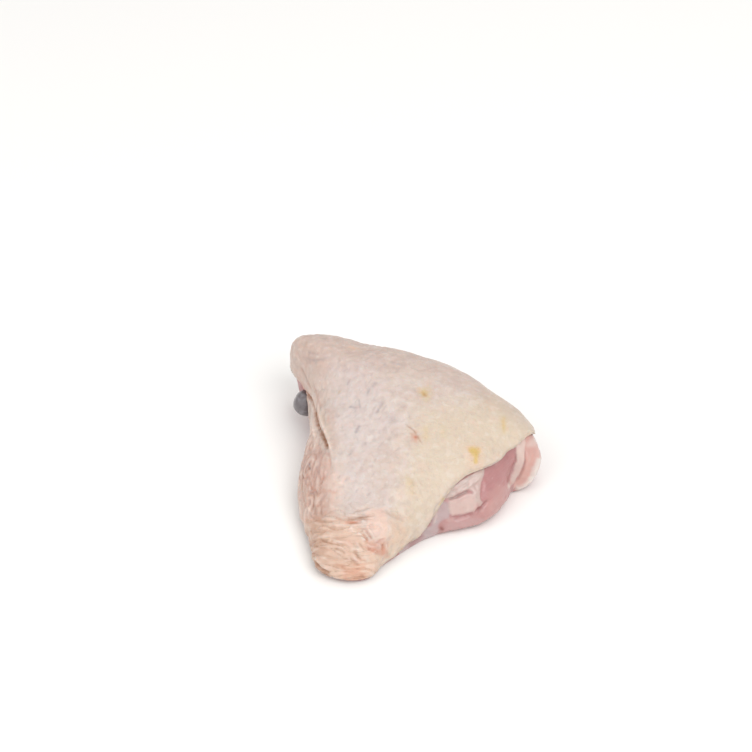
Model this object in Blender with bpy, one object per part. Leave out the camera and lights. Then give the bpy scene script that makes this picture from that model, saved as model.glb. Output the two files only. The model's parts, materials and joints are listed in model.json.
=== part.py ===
"""Raw chicken thigh, bone in and skin on, lying with its skin side up.

The flesh is one solid with a flat underside. A sheet of skin drapes over its top and down its sides,
and is cut short along the front right, where the muscles show. The round end of the thigh bone sits
in a socket in the flesh, under the edge of the skin on the left. +X is to the right, +Y to the back.
Sizes are in millimetres until a mesh is made.
"""

import math

import bmesh
import bpy
import numpy as np
from mathutils import Vector

MM = 0.001

# Middle of the skin side in plan, which every profile starts from
CROWN = np.array([0.0, 3.0])
# The skin side is a slope: its height over the origin, and its rise for each millimetre in x and in y
CAP_HEIGHT = 31.0
CAP_RISE_X = -0.02
CAP_RISE_Y = 0.27
# The crown stands a little above that slope
DOME_HEIGHT = 3.5
DOME_RADIUS = 38.0
# The side turns in under its widest line by this share of that line's height
UNDERCUT = 0.5

SKIN_THICKNESS = 1.8
# The loose skin gathered at the knee end is folded, so it is thicker
GATHER_CENTRE = np.array([-25.0, -52.0])
GATHER_RADIUS = 13.0
GATHER_THICKNESS = 2.2
# Clear space between the skin and the flesh
SEPARATION = 0.35
HEM_WAVE = 0.018
HEM_WAVES = (5, 11)

COLUMNS = 96
COVERED_ROWS = 18
BARE_ROWS = 8
UNDERSIDE_ROWS = 2
FLOOR_ARC = 1.5
UNDER_CROWN_ARC = 2.0
OUTLINE_STEPS = 40
# The outline's notches die away towards the crown, as this power of the distance from it
NOTCH_REACH = 5.0
SOFTENING_PASSES = 30

# Round the widest line of the thigh, starting at the tip of the knee end and passing the cut front right:
# x, y, height of the widest line, fullness of the profile above it, and how far down the profile the skin
# reaches, where 0 is the crown, 1 the widest line and 1.5 the floor.
STATIONS = {
    "knee tip": (-25.6, -59.9, 5.0, 2.4, 1.25),
    "knee tip right": (-18.3, -58.3, 5.0, 2.4, 1.25),
    "knee right": (-13.9, -50.8, 5.0, 2.4, 1.22),
    "knee notch": (-7.4, -44.1, 5.0, 2.5, 1.18),
    "skin meets floor": (2.0, -35.5, 5.5, 2.6, 1.05),
    "hem drop": (9.0, -31.3, 5.8, 2.6, 0.80),
    "lower muscle start": (16.0, -28.0, 6.0, 2.6, 0.63),
    "lower muscle": (24.8, -26.0, 6.5, 2.7, 0.59),
    "main muscle": (30.5, -21.0, 7.5, 2.8, 0.61),
    "main muscle end": (37.9, -11.3, 8.5, 2.8, 0.65),
    "notch before flap": (40.8, -4.2, 9.0, 2.8, 0.68),
    "flap foot": (45.8, -4.4, 9.0, 2.9, 0.67),
    "flap side": (50.7, 3.2, 12.5, 3.0, 0.70),
    "right tip": (50.8, 9.2, 12.0, 3.0, 0.82),
    "right shoulder": (45.6, 18.8, 12.0, 2.8, 1.02),
    "back right": (36.3, 28.9, 12.0, 2.6, 1.14),
    "back middle right": (18.3, 44.0, 12.0, 2.6, 1.18),
    "back middle": (-3.0, 52.3, 13.0, 2.6, 1.15),
    "back middle left": (-27.0, 59.0, 16.0, 2.6, 1.18),
    "hip back": (-41.0, 61.0, 21.0, 2.7, 1.16),
    "hip corner": (-50.6, 57.0, 25.0, 2.8, 1.12),
    "hip side": (-51.6, 50.0, 24.0, 2.8, 1.05),
    "over the bone": (-46.0, 41.0, 18.0, 2.7, 0.97),
    "waist": (-43.0, 30.0, 12.0, 2.5, 1.00),
    "waist front": (-43.2, 18.0, 9.0, 2.4, 1.15),
    "side fold": (-46.3, 0.0, 7.0, 2.3, 1.24),
    "side fold middle": (-47.2, -15.2, 6.5, 2.3, 1.25),
    "side fold front": (-45.4, -26.3, 6.0, 2.3, 1.25),
    "knee left": (-41.0, -41.0, 5.5, 2.4, 1.25),
    "knee left corner": (-39.4, -52.0, 5.0, 2.4, 1.25),
    "knee front": (-33.8, -58.0, 5.0, 2.4, 1.25),
}

# Broad folds of the whole form: points along each in plan, half width and height, negative for a groove
FOLDS = {
    "edge of the side fold": (((-40, 34), (-37, 20), (-34, 5), (-33, -5)), 3.8, 1.2),
    "under the side fold": (((-40.5, 17), (-38.5, 4), (-37.5, -5)), 3.0, -1.5),
    "crease above the knee": (((-36, -33), (-25, -31.5), (-16, -30.5)), 4.4, -1.5),
    "first knee fold": (((-38, -42), (-28, -40), (-18, -40), (-12, -44)), 4.2, 1.0),
    "second knee fold": (((-37, -51), (-27, -49), (-19, -52)), 4.2, 0.8),
    "hip dimple": (((-30, 40), (-20, 44)), 9.0, -1.0),
}

# Muscles that show below the cut skin: a centre in space, a radius and how far they swell, negative for
# the gap between two
MUSCLES = {
    "main muscle": ((31.5, -18.0, 14.0), 9.5, 3.0),
    "lower strip": ((17.0, -28.0, 4.5), 6.5, 2.2),
    "lower strip end": ((29.0, -23.0, 5.0), 6.0, 1.4),
    "membrane hollow": ((16.0, -24.0, 14.0), 7.0, -2.0),
    "groove over the strip": ((19.0, -27.0, 9.0), 3.5, -1.6),
    "groove before the flap": ((39.5, -6.5, 11.0), 3.8, -4.2),
    "flap": ((46.5, -3.0, 12.0), 6.5, 1.9),
    "flap shoulder": ((50.5, 8.0, 13.0), 6.0, 2.6),
}
RELIEF_FADE_HEIGHT = 3.0

BONE_CENTRE = np.array([-44.5, 39.5, 11.5])
BONE_AXIS = np.array([-0.86, -0.48, 0.16])
BONE_HEAD_RADIUS = 5.6
BONE_NECK_RADIUS = 3.6
BONE_NECK_LENGTH = 9.0
BONE_STEPS = 24
SOCKET_CLEARANCE = 0.35

# Linear base colour and roughness of each finish
SKIN_FINISH = ((0.72, 0.62, 0.53), 0.42)
FLESH_FINISH = ((0.55, 0.28, 0.27), 0.35)
GRISTLE_FINISH = ((0.33, 0.34, 0.38), 0.25)


def clear_scene():
    """Removes the objects that a new scene starts with."""
    for item in list(bpy.data.objects):
        bpy.data.objects.remove(item, do_unlink=True)


def material(name, colour, roughness):
    """A plain finish with a linear base colour."""
    made = bpy.data.materials.new(name)
    made.use_nodes = True
    shader = made.node_tree.nodes["Principled BSDF"]
    shader.inputs["Base Color"].default_value = (*colour, 1.0)
    shader.inputs["Roughness"].default_value = roughness
    shader.inputs["Metallic"].default_value = 0.0
    return made


def smooth_closed_curve(table, position):
    """Values on the closed smooth curve through the rows of a table, at fractional row positions."""
    row = np.floor(position).astype(int)
    part = (position - row)[:, None]
    before, here, after, beyond = (table[(row + step) % len(table)] for step in (-1, 0, 1, 2))
    slope = after - before
    bend = 2 * before - 5 * here + 4 * after - beyond
    twist = 3 * (here - after) + beyond - before
    return here + 0.5 * part * (slope + part * (bend + part * twist))


def stations_evenly_spaced(count):
    """The station values at points evenly spaced along the widest line."""
    table = np.array(list(STATIONS.values()))
    position = np.arange(len(table) * OUTLINE_STEPS) / OUTLINE_STEPS
    values = smooth_closed_curve(table, position)
    closed = np.vstack([values, values[:1]])
    steps = np.linalg.norm(np.diff(closed[:, :2], axis=0), axis=1)
    travelled = np.concatenate([[0.0], np.cumsum(steps)])
    wanted = np.linspace(0.0, travelled[-1], count, endpoint=False)
    even = np.column_stack([np.interp(wanted, travelled, column) for column in closed.T])
    turn = wanted / travelled[-1] * math.tau
    even[:, 4] += HEM_WAVE * sum(np.sin(waves * turn + waves) for waves in HEM_WAVES)
    return even


def softened(ring):
    """A ring with its corners and notches rounded off."""
    for _ in range(SOFTENING_PASSES):
        ring = (np.roll(ring, 1, axis=0) + 2 * ring + np.roll(ring, -1, axis=0)) / 4
    return ring


def cap_height(x, y):
    """Height of the slope that the skin side follows."""
    dome = np.exp(-((x - CROWN[0]) ** 2 + (y - CROWN[1]) ** 2) / (2 * DOME_RADIUS**2))
    return CAP_HEIGHT + CAP_RISE_X * x + CAP_RISE_Y * y + DOME_HEIGHT * dome


def profile_points(stations, arc):
    """Points on the bare form, one for each station, each at its own place down the profile."""
    x, y, rim, fullness, _ = stations.T
    over = np.clip(arc, 0.0, 1.0) * math.pi / 2
    under = np.clip(arc - 1.0, 0.0, FLOOR_ARC - 1.0) * math.pi
    inward = np.clip((arc - FLOOR_ARC) / (UNDER_CROWN_ARC - FLOOR_ARC), 0.0, 1.0)
    reach = np.hypot(x - CROWN[0], y - CROWN[1])
    share = np.sin(over) ** (2 / fullness)
    share = (share - UNDERCUT * rim * (1 - np.cos(under)) / reach) * (1 - inward)
    plan = stations[:, :2]
    plan = softened(plan) + (plan - softened(plan)) * (share**NOTCH_REACH)[:, None]
    plan_x, plan_y = (CROWN + (plan - CROWN) * share[:, None]).T
    lift = np.abs(np.cos(over)) ** (2 / fullness)
    height = rim * (1 - np.sin(under)) + (cap_height(plan_x, plan_y) - rim) * lift * (arc < 1)
    return np.column_stack([plan_x, plan_y, height])


def distance_to_path(points, path):
    """Distance of each point from a path of straight pieces."""
    nearest = np.full(len(points), np.inf)
    for start, end in zip(path[:-1], path[1:]):
        start, along = np.array(start, float), np.subtract(end, start)
        share = np.clip((points - start) @ along / (along @ along), 0.0, 1.0)
        gap = points - start - share[:, None] * along
        nearest = np.minimum(nearest, np.linalg.norm(gap, axis=1))
    return nearest


def fold_relief(points):
    """How far the broad folds lift each point of the skin side."""
    lifted = np.zeros(len(points))
    for path, width, height in FOLDS.values():
        lifted += height * np.exp(-((distance_to_path(points[:, :2], path) / width) ** 2))
    return lifted * np.clip(points[:, 2] / RELIEF_FADE_HEIGHT, 0.0, 1.0)


def muscle_relief(points):
    """How far the bare muscles swell each point of the flesh."""
    lifted = np.zeros(len(points))
    for centre, radius, height in MUSCLES.values():
        gap = np.linalg.norm(points - np.array(centre), axis=1)
        lifted += height * np.exp(-((gap / radius) ** 2))
    return lifted * np.clip(points[:, 2] / RELIEF_FADE_HEIGHT, 0.0, 1.0)


def ring_normals(rings):
    """Outward unit normals on a stack of closed rings."""
    along = np.roll(rings, -1, axis=1) - np.roll(rings, 1, axis=1)
    down = np.gradient(rings, axis=0)
    normals = np.cross(down, along)
    return normals / np.linalg.norm(normals, axis=2, keepdims=True)


def thigh_rings():
    """Rings of the whole form from near the crown to near the middle of the underside, and their normals."""
    stations = stations_evenly_spaced(COLUMNS)
    hem = stations[:, 4]
    covered = [hem * row / COVERED_ROWS for row in range(1, COVERED_ROWS + 1)]
    bare = [hem + (FLOOR_ARC - hem) * row / BARE_ROWS for row in range(1, BARE_ROWS + 1)]
    inner = [
        np.full(COLUMNS, FLOOR_ARC + (UNDER_CROWN_ARC - FLOOR_ARC) * row / (UNDERSIDE_ROWS + 1))
        for row in range(1, UNDERSIDE_ROWS + 1)
    ]
    rings = np.array([profile_points(stations, arc) for arc in covered + bare + inner])
    normals = ring_normals(rings)
    lift = np.array([fold_relief(ring) for ring in rings])
    rings = rings + normals * lift[:, :, None]
    return rings, ring_normals(rings)


def skin_thickness(ring):
    """Thickness of the skin at each point of a ring."""
    gap = np.linalg.norm(ring[:, :2] - GATHER_CENTRE, axis=1)
    return SKIN_THICKNESS + GATHER_THICKNESS * np.exp(-((gap / GATHER_RADIUS) ** 2))


def loft(name, poles, rings, slants, finish):
    """One closed solid from a first pole through closed rings to a last pole.

    A slant is 1 or -1 and sets which diagonal splits the band below a ring, so that two surfaces that lie
    close together can be split alike.
    """
    mesh = bmesh.new()
    first, last = (mesh.verts.new(pole * MM) for pole in poles)
    loops = [[mesh.verts.new(point * MM) for point in ring] for ring in rings]
    count = len(loops[0])
    for column in range(count):
        beside = (column + 1) % count
        mesh.faces.new((first, loops[0][column], loops[0][beside]))
        mesh.faces.new((last, loops[-1][beside], loops[-1][column]))
        for upper, lower, slant in zip(loops[:-1], loops[1:], slants):
            a, b, c, d = upper[column], lower[column], lower[beside], upper[beside]
            corners = ((a, b, c), (a, c, d)) if slant > 0 else ((a, b, d), (b, c, d))
            for corner in corners:
                mesh.faces.new(corner)
    bmesh.ops.recalc_face_normals(mesh, faces=mesh.faces)
    data = bpy.data.meshes.new(name)
    mesh.to_mesh(data)
    mesh.free()
    data.shade_smooth()
    data.materials.append(finish)
    solid = bpy.data.objects.new(name, data)
    bpy.context.scene.collection.objects.link(solid)
    return solid


def crown_point(depth):
    """The point that the skin side's profiles start from, lowered by a depth."""
    x, y = CROWN
    return np.array([x, y, cap_height(x, y) - depth])


def build_skin(rings, normals, finish):
    """The sheet of skin: down its outer face to the cut edge, and back up its inner face."""
    thickness = np.array([skin_thickness(ring) for ring in rings])
    outer = rings[:COVERED_ROWS]
    inner = outer - normals[:COVERED_ROWS] * thickness[:COVERED_ROWS, :, None]
    poles = (crown_point(0.0), crown_point(SKIN_THICKNESS))
    slants = [1] * COVERED_ROWS + [-1] * (COVERED_ROWS - 1)
    return loft("skin", poles, [*outer, *inner[::-1]], slants, finish)


def build_flesh(rings, normals, finish):
    """The flesh: under the skin, then out past its cut edge and down to the flat underside."""
    depth = np.array([skin_thickness(ring) for ring in rings]) + SEPARATION
    below = np.clip((np.arange(len(rings)) - (COVERED_ROWS - 1)) / (BARE_ROWS - 2), 0.0, 1.0)
    fade = 1 - below * below * (3 - 2 * below)
    swell = np.array([muscle_relief(ring) for ring in rings])
    move = swell * (1 - fade[:, None]) - depth * fade[:, None]
    on_floor = np.arange(len(rings)) >= COVERED_ROWS + BARE_ROWS - 1
    move[on_floor] = 0.0
    flesh_rings = rings + normals * move[:, :, None]
    under = np.array([*CROWN, 0.0])
    poles = (crown_point(SKIN_THICKNESS + SEPARATION), under)
    return loft("flesh", poles, flesh_rings, [1] * (len(rings) - 1), finish)


def build_bone(name, grown, finish):
    """The round end of the thigh bone on its neck, turned about the bone's axis, grown by a clearance."""
    head, neck = BONE_HEAD_RADIUS + grown, BONE_NECK_RADIUS + grown
    join = math.asin(neck / head)
    angles = np.linspace(0.0, math.pi - join, BONE_STEPS // 2)
    outline = [(head * math.sin(angle), head * math.cos(angle)) for angle in angles]
    outline += [(neck, -BONE_NECK_LENGTH - grown), (0.0, -BONE_NECK_LENGTH - grown)]
    mesh = bmesh.new()
    profile = [mesh.verts.new(Vector((radius, 0.0, height)) * MM) for radius, height in outline]
    edges = [mesh.edges.new(pair) for pair in zip(profile[:-1], profile[1:])]
    bmesh.ops.spin(
        mesh, geom=profile + edges, cent=(0, 0, 0), axis=(0, 0, 1), angle=math.tau,
        steps=BONE_STEPS, use_merge=True,
    )
    bmesh.ops.remove_doubles(mesh, verts=mesh.verts, dist=1e-6)
    bmesh.ops.recalc_face_normals(mesh, faces=mesh.faces)
    data = bpy.data.meshes.new(name)
    mesh.to_mesh(data)
    mesh.free()
    data.shade_smooth()
    data.materials.append(finish)
    bone = bpy.data.objects.new(name, data)
    bone.rotation_euler = Vector(BONE_AXIS).to_track_quat("Z", "X").to_euler()
    bone.location = Vector(BONE_CENTRE) * MM
    bpy.context.scene.collection.objects.link(bone)
    return bone


def cut(solid, cutter):
    """Takes the cutter's shape out of a solid."""
    boolean = solid.modifiers.new("socket", "BOOLEAN")
    boolean.operation = "DIFFERENCE"
    boolean.solver = "EXACT"
    boolean.object = cutter
    cutter.hide_render = True
    cutter.display_type = "WIRE"


def centre_over_origin(solids):
    """Moves the solids as one, so that the middle of their common box is over the origin."""
    bpy.context.view_layer.update()
    points = np.array([solid.matrix_world @ vertex.co for solid in solids for vertex in solid.data.vertices])
    middle = (points.min(axis=0) + points.max(axis=0)) / 2
    for solid in solids:
        solid.location.x -= middle[0]
        solid.location.y -= middle[1]


def main():
    """Builds the skin, the flesh and the bone end."""
    clear_scene()
    rings, normals = thigh_rings()
    skin = build_skin(rings, normals, material("skin", *SKIN_FINISH))
    flesh = build_flesh(rings, normals, material("flesh", *FLESH_FINISH))
    gristle = material("gristle", *GRISTLE_FINISH)
    bone = build_bone("bone_end", 0.0, gristle)
    socket = build_bone("bone_socket", SOCKET_CLEARANCE, gristle)
    cut(flesh, socket)
    cut(skin, socket)
    centre_over_origin([skin, flesh, bone, socket])


main()
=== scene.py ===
"""Dresses a raw chicken thigh: its skin, its bare muscle and the gristle end of its bone.

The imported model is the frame. The skin and the flesh start as fine copies of its solids, which are then
pressed, creased and painted as with modelling tools. Lines on them are given where the photograph shows
them, as pixels of its 752 x 752 frame, and are cast through the camera on to the surface. Widths and
heights are real sizes in millimetres. What the photograph doesn't show follows rules in the part's frame:
+X right, +Y back, +Z up.
"""

import json
import logging
import math
from dataclasses import dataclass, field
from enum import Enum
from functools import cached_property

import bpy
import numpy as np
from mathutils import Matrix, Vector, noise
from mathutils.bvhtree import BVHTree
from mathutils.kdtree import KDTree

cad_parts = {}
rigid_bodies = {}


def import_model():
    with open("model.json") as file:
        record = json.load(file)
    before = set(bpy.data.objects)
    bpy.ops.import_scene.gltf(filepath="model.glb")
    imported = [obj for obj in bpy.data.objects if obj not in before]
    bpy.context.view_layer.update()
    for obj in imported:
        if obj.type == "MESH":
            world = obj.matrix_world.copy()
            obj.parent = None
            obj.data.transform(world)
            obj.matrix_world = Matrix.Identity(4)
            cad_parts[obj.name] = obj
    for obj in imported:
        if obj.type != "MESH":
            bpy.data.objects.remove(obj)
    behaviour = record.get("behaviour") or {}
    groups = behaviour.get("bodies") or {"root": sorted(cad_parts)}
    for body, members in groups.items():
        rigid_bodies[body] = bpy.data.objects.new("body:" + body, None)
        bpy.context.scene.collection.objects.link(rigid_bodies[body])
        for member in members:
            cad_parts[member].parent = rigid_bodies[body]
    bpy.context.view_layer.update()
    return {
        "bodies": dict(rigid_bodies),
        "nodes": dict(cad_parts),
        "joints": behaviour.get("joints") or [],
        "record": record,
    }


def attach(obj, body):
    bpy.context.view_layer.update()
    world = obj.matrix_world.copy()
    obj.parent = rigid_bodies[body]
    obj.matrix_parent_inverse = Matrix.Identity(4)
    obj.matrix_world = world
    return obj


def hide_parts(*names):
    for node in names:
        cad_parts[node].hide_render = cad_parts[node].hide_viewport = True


MM = 0.001
LOG = logging.getLogger("thigh")
# A paint is this share of the display colour that it shows, because the studio light makes it brighter
LIGHT_SHARE = 0.80
# Vertices of a CAD node closer than this, in metres, are one place
SAME_PLACE = 1e-6
# The least length, in millimetres, that a direction is worked out from
LEAST_LENGTH = 1e-6

# Lengths along X, Y and Z; where something starts and where it is full; a paint's red, green and blue;
# a place in the photograph; what a shader mixes
Size = tuple[float, float, float]
Span = tuple[float, float]
Paint = tuple[float, float, float]
Pixel = tuple[float, float]
Colour = bpy.types.NodeSocket | tuple


class Layer(Enum):
    """Colours laid over a piece's ground colour, each kept as a point attribute of that name."""

    # Pinkish brown; on the back of the skin also painted shade
    BLUSH = "blush"
    CREAM = "cream"
    PEACH = "peach"
    # Red marks; in some of the skin's creases also painted shade
    RED = "red"
    # Brown marks; in the skin's creases and its tuck also painted shade
    BROWN = "brown"
    # Grey veins; also painted shade in hollows, along the skin's cut edge and in the film's crease
    VEIN = "vein"
    STAIN = "stain"
    # Pale skin, fat and film; on the skin's ridges and lips also painted highlight
    PALE = "pale"
    MAUVE = "mauve"
    # Deep pink; along the meat's grooves also painted shade
    DEEP = "deep"
    # Lilac tone; on the tops of the skin's bubbles also painted highlight
    LILAC = "lilac"
    PINK = "pink"


# Colour layers with the display colour of each
Overlays = tuple[tuple[Layer, str], ...]


class Grain(Enum):
    """Random patterns: the size of their lumps in millimetres, and a shift that sets them apart."""

    SKIN_SWELL = (14.0, 14.0, 14.0), 0.0
    SKIN_RIPPLE = (5.5, 5.5, 5.5), 9.0
    KNEE_STRAY = (10.0, 10.0, 10.0), 2.0
    KNEE_PLEAT = (12.0, 2.1, 9.0), 3.0
    KNEE_THREAD = (6.0, 1.1, 4.0), 4.0
    SIDE_STRAY = (9.0, 9.0, 9.0), 5.0
    SIDE_PLEAT = (1.9, 8.0, 4.0), 6.0
    SIDE_SPECK = (1.2, 2.2, 1.6), 7.0
    SIDE_SORE = (3.0, 5.0, 3.0), 1.0
    BUBBLE = (2.4, 2.4, 2.4), 8.0
    PORE = (1.1, 1.1, 1.1), 0.0
    PINK_CLOUD = (5.0, 5.0, 5.0), 10.0
    VEIN_STREAK = (4.0, 1.2, 3.0), 12.0
    EDGE_WAVE = (6.0, 6.0, 6.0), 20.0
    MEAT_BUNDLE = (3.5, 9.0, 3.5), 0.0
    MEAT_LUMP = (1.6, 3.0, 1.6), 3.0
    MEAT_DARK = (4.0, 6.0, 4.0), 6.0
    MEAT_PALE = (6.0, 9.0, 3.0), 9.0
    GRISTLE_DENT = (4.0, 4.0, 4.0), 0.0

    def on(self, points: np.ndarray, seed: float) -> np.ndarray:
        """Its value at each point of a piece with this seed."""
        size, shift = self.value
        return lumps(points, size, seed + shift)


class Area(Enum):
    """Stretches of the skin that are wrinkled and tinted each in their own way."""

    KNEE = "the loose end at the knee"
    SIDE = "the wrinkled left side"
    PLAIN = "all that is neither"
    LEFT = "the same, and less of it to the right"


@dataclass(frozen=True)
class Tint:
    """A colour that follows a random pattern.

    Attributes:
        grain: the pattern.
        layer: the colour.
        start: the pattern's value where the colour starts.
        full: its value where the colour is full.
        strength: how strong the colour is there, from 0 to 1.
    """

    grain: Grain
    layer: Layer
    start: float
    full: float
    strength: float


@dataclass(frozen=True)
class Pleats:
    """Folds with flat crests and narrow creases, and a finer pattern on them.

    Attributes:
        crest: the pattern's value from which a fold is flat on top.
        level: the value that stays where it is.
        rise: how steeply a fold rises.
        fine: height of the finer pattern.
    """

    crest: float
    level: float
    rise: float
    fine: float

    def height(self, broad: np.ndarray, fine: np.ndarray) -> np.ndarray:
        """How far the folds lift each vertex."""
        return (np.minimum(broad, self.crest) - self.level) * self.rise + fine * self.fine


@dataclass(frozen=True)
class Mottling:
    """Spots of a paler or darker colour where a noise passes a level.

    Attributes:
        start: the noise where they start.
        full: the noise where they are full, which may be the smaller.
        strength: how strong they are there, from 0 to 1.
        code: their display colour.
    """

    start: float
    full: float
    strength: float
    code: str


@dataclass(frozen=True)
class Line:
    """A line pressed or painted on a surface.

    Attributes:
        points: the places it passes, in pixels of the photograph.
        width: half its width.
        lift: how far its middle stands up, negative for a groove.
        layer: the colour that it leaves, if any.
        strength: how strong that colour is, from 0 to 1.
        taper: the share of its length over which each end dies away.
    """

    points: tuple[Pixel, ...]
    width: float
    lift: float = 0.0
    layer: Layer | None = None
    strength: float = 0.0
    taper: float = 0.25


@dataclass(frozen=True)
class Patch:
    """An area of a surface with a colour of its own, which may also stand up.

    Attributes:
        outline: its corners, in pixels of the photograph.
        layer: its colour.
        strength: how strong that colour is, from 0 to 1.
        soft: how far its edge fades each way.
        lift: how far it stands up.
    """

    outline: tuple[Pixel, ...]
    layer: Layer
    strength: float
    soft: float = 2.0
    lift: float = 0.0


def linear(code: str, share: float = LIGHT_SHARE) -> Paint:
    """The linear paint that shows as a display colour.

    Args:
        code: the display colour as six digits.
        share: what is left to paint after the studio light has made it brighter.

    Returns:
        Red, green and blue.
    """
    paint = []
    for place in (0, 2, 4):
        shown = int(code[place : place + 2], 16) / 255
        paint.append(share * (shown / 12.92 if shown <= 0.04045 else ((shown + 0.055) / 1.055) ** 2.4))
    return tuple(paint)


def ramp(values: np.ndarray, low: float, high: float) -> np.ndarray:
    """A smooth step from 0 at low to 1 at high, which may be the smaller."""
    share = np.clip((values - low) / (high - low), 0.0, 1.0)
    return share * share * (3 - 2 * share)


def lumps(points: np.ndarray, size: Size, seed: float) -> np.ndarray:
    """Smooth random values from about -1 to 1.

    Args:
        points: places in millimetres.
        size: how far apart the lumps are along each axis.
        seed: picks the pattern.

    Returns:
        One value for each point.
    """
    places = points / np.array(size) + seed
    return np.array([noise.noise(place) for place in places.tolist()])


def deselect() -> None:
    """Leaves object mode and selects nothing."""
    if bpy.context.object and bpy.context.object.mode != "OBJECT":
        bpy.ops.object.mode_set(mode="OBJECT")
    bpy.ops.object.select_all(action="DESELECT")


def activate(piece: bpy.types.Object) -> None:
    """Makes a piece the only selected object and the active one."""
    deselect()
    piece.select_set(True)
    bpy.context.view_layer.objects.active = piece


def apply_modifier(piece: bpy.types.Object, name: str, kind: str, **settings: float | str | bool) -> None:
    """Adds a modifier with its settings and applies it.

    Args:
        piece: the object.
        name: the modifier's name.
        kind: the modifier's type.
        settings: its properties.
    """
    activate(piece)
    modifier = piece.modifiers.new(name, kind)
    for key, value in settings.items():
        setattr(modifier, key, value)
    bpy.ops.object.modifier_apply(modifier=modifier.name)


@dataclass(frozen=True)
class PhotoView:
    """The camera of the photograph, worked out from one real size and two angles.

    Attributes:
        frame: width and height of the photograph in pixels.
        pixel: what a pixel covers at the part, in millimetres.
        elevation: the camera's height over the horizon, in degrees.
        lens: focal length in millimetres.
        sensor: width of the sensor in millimetres.
        aim_height: height over the origin of the point that shows at aim_pixel.
        aim_pixel: where that point shows in the photograph.
        widest_gap: a cast line is closed over gaps up to this many millimetres.
    """

    frame: float = 752.0
    pixel: float = 0.40
    elevation: float = 38.0
    lens: float = 135.0
    sensor: float = 36.0
    aim_height: float = 18.0
    aim_pixel: Pixel = (414.5, 451.0)
    widest_gap: float = 4.0

    @property
    def back(self) -> Vector:
        """Unit vector from the part to the camera."""
        angle = math.radians(self.elevation)
        return Vector((0.0, -math.cos(angle), math.sin(angle)))

    @property
    def up(self) -> Vector:
        """Unit vector up the picture."""
        angle = math.radians(self.elevation)
        return Vector((0.0, math.sin(angle), math.cos(angle)))

    @property
    def eye(self) -> Vector:
        """The camera's place in millimetres."""
        centre = self.frame / 2
        across = (self.aim_pixel[0] - centre) * self.pixel
        down = (self.aim_pixel[1] - centre) * self.pixel
        aim = Vector((-across, 0.0, self.aim_height)) + self.up * down
        return aim + self.back * (centre * self.pixel * 2 * self.lens / self.sensor)

    def add_camera(self) -> None:
        """Adds the camera and makes it the scene's."""
        deselect()
        bpy.ops.object.camera_add(location=self.eye * MM)
        camera = bpy.context.object
        camera.name = "photo_camera"
        camera.rotation_euler = self.back.to_track_quat("Z", "Y").to_euler()
        camera.data.lens = self.lens
        camera.data.sensor_width = self.sensor
        camera.data.dof.use_dof = False
        bpy.context.scene.camera = camera

    def direction(self, pixel: Pixel) -> Vector:
        """Unit vector from the camera through a pixel of the photograph."""
        centre = self.frame / 2
        reach = self.sensor / self.lens / self.frame
        across = Vector((1.0, 0.0, 0.0)) * (pixel[0] - centre) * reach
        return (across - self.up * (pixel[1] - centre) * reach - self.back).normalized()

    def pixels(self, points: np.ndarray) -> np.ndarray:
        """Where places, in millimetres, show in the photograph."""
        away = points - np.array(self.eye)
        depth = -(away @ np.array(self.back)) * self.sensor / self.lens / self.frame
        across = away[:, 0] / depth
        down = -(away @ np.array(self.up)) / depth
        return self.frame / 2 + np.column_stack([across, down])

    def turned(self, points: np.ndarray) -> np.ndarray:
        """Places counted across the picture, up it and towards the camera, in millimetres."""
        return points @ np.array([(1.0, 0.0, 0.0), self.up, self.back]).T

    def cast(self, points: tuple[Pixel, ...], step: float, tree: BVHTree) -> np.ndarray:
        """Casts a smooth line through pixels on to a surface.

        Args:
            points: the pixels that it passes.
            step: the spacing of the points that come back, in millimetres.
            tree: the surface, in metres.

        Returns:
            Places in millimetres, fewer where the line leaves the surface.
        """
        pixels = smooth_line(np.array(points, float), step / self.pixel)
        eye = self.eye * MM
        hits = [tree.ray_cast(eye, self.direction(pixel))[0] for pixel in pixels]
        places = np.array([tuple(hit / MM) for hit in hits if hit is not None]).reshape(-1, 3)
        path = [places[:1]]
        for before, after in zip(places[:-1], places[1:]):
            gap = np.linalg.norm(after - before)
            count = math.ceil(gap / step) if gap < self.widest_gap else 1
            path.append(before + (after - before) * (np.arange(1, count + 1) / max(count, 1))[:, None])
        return np.vstack(path)


def smooth_line(points: np.ndarray, step: float) -> np.ndarray:
    """Points a step apart on a smooth curve through the given ones."""
    if len(points) == 1:
        return points
    padded = np.vstack([2 * points[0] - points[1], points, 2 * points[-1] - points[-2]])
    made = []
    for before, here, after, beyond in zip(padded[:-3], padded[1:-2], padded[2:-1], padded[3:]):
        count = max(1, math.ceil(np.linalg.norm(after - here) / step))
        part = (np.arange(count) / count)[:, None]
        bend = 2 * before - 5 * here + 4 * after - beyond
        twist = 3 * (here - after) + beyond - before
        made.append(here + 0.5 * part * (after - before + part * (bend + part * twist)))
    return np.vstack([*made, points[-1:]])


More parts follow.
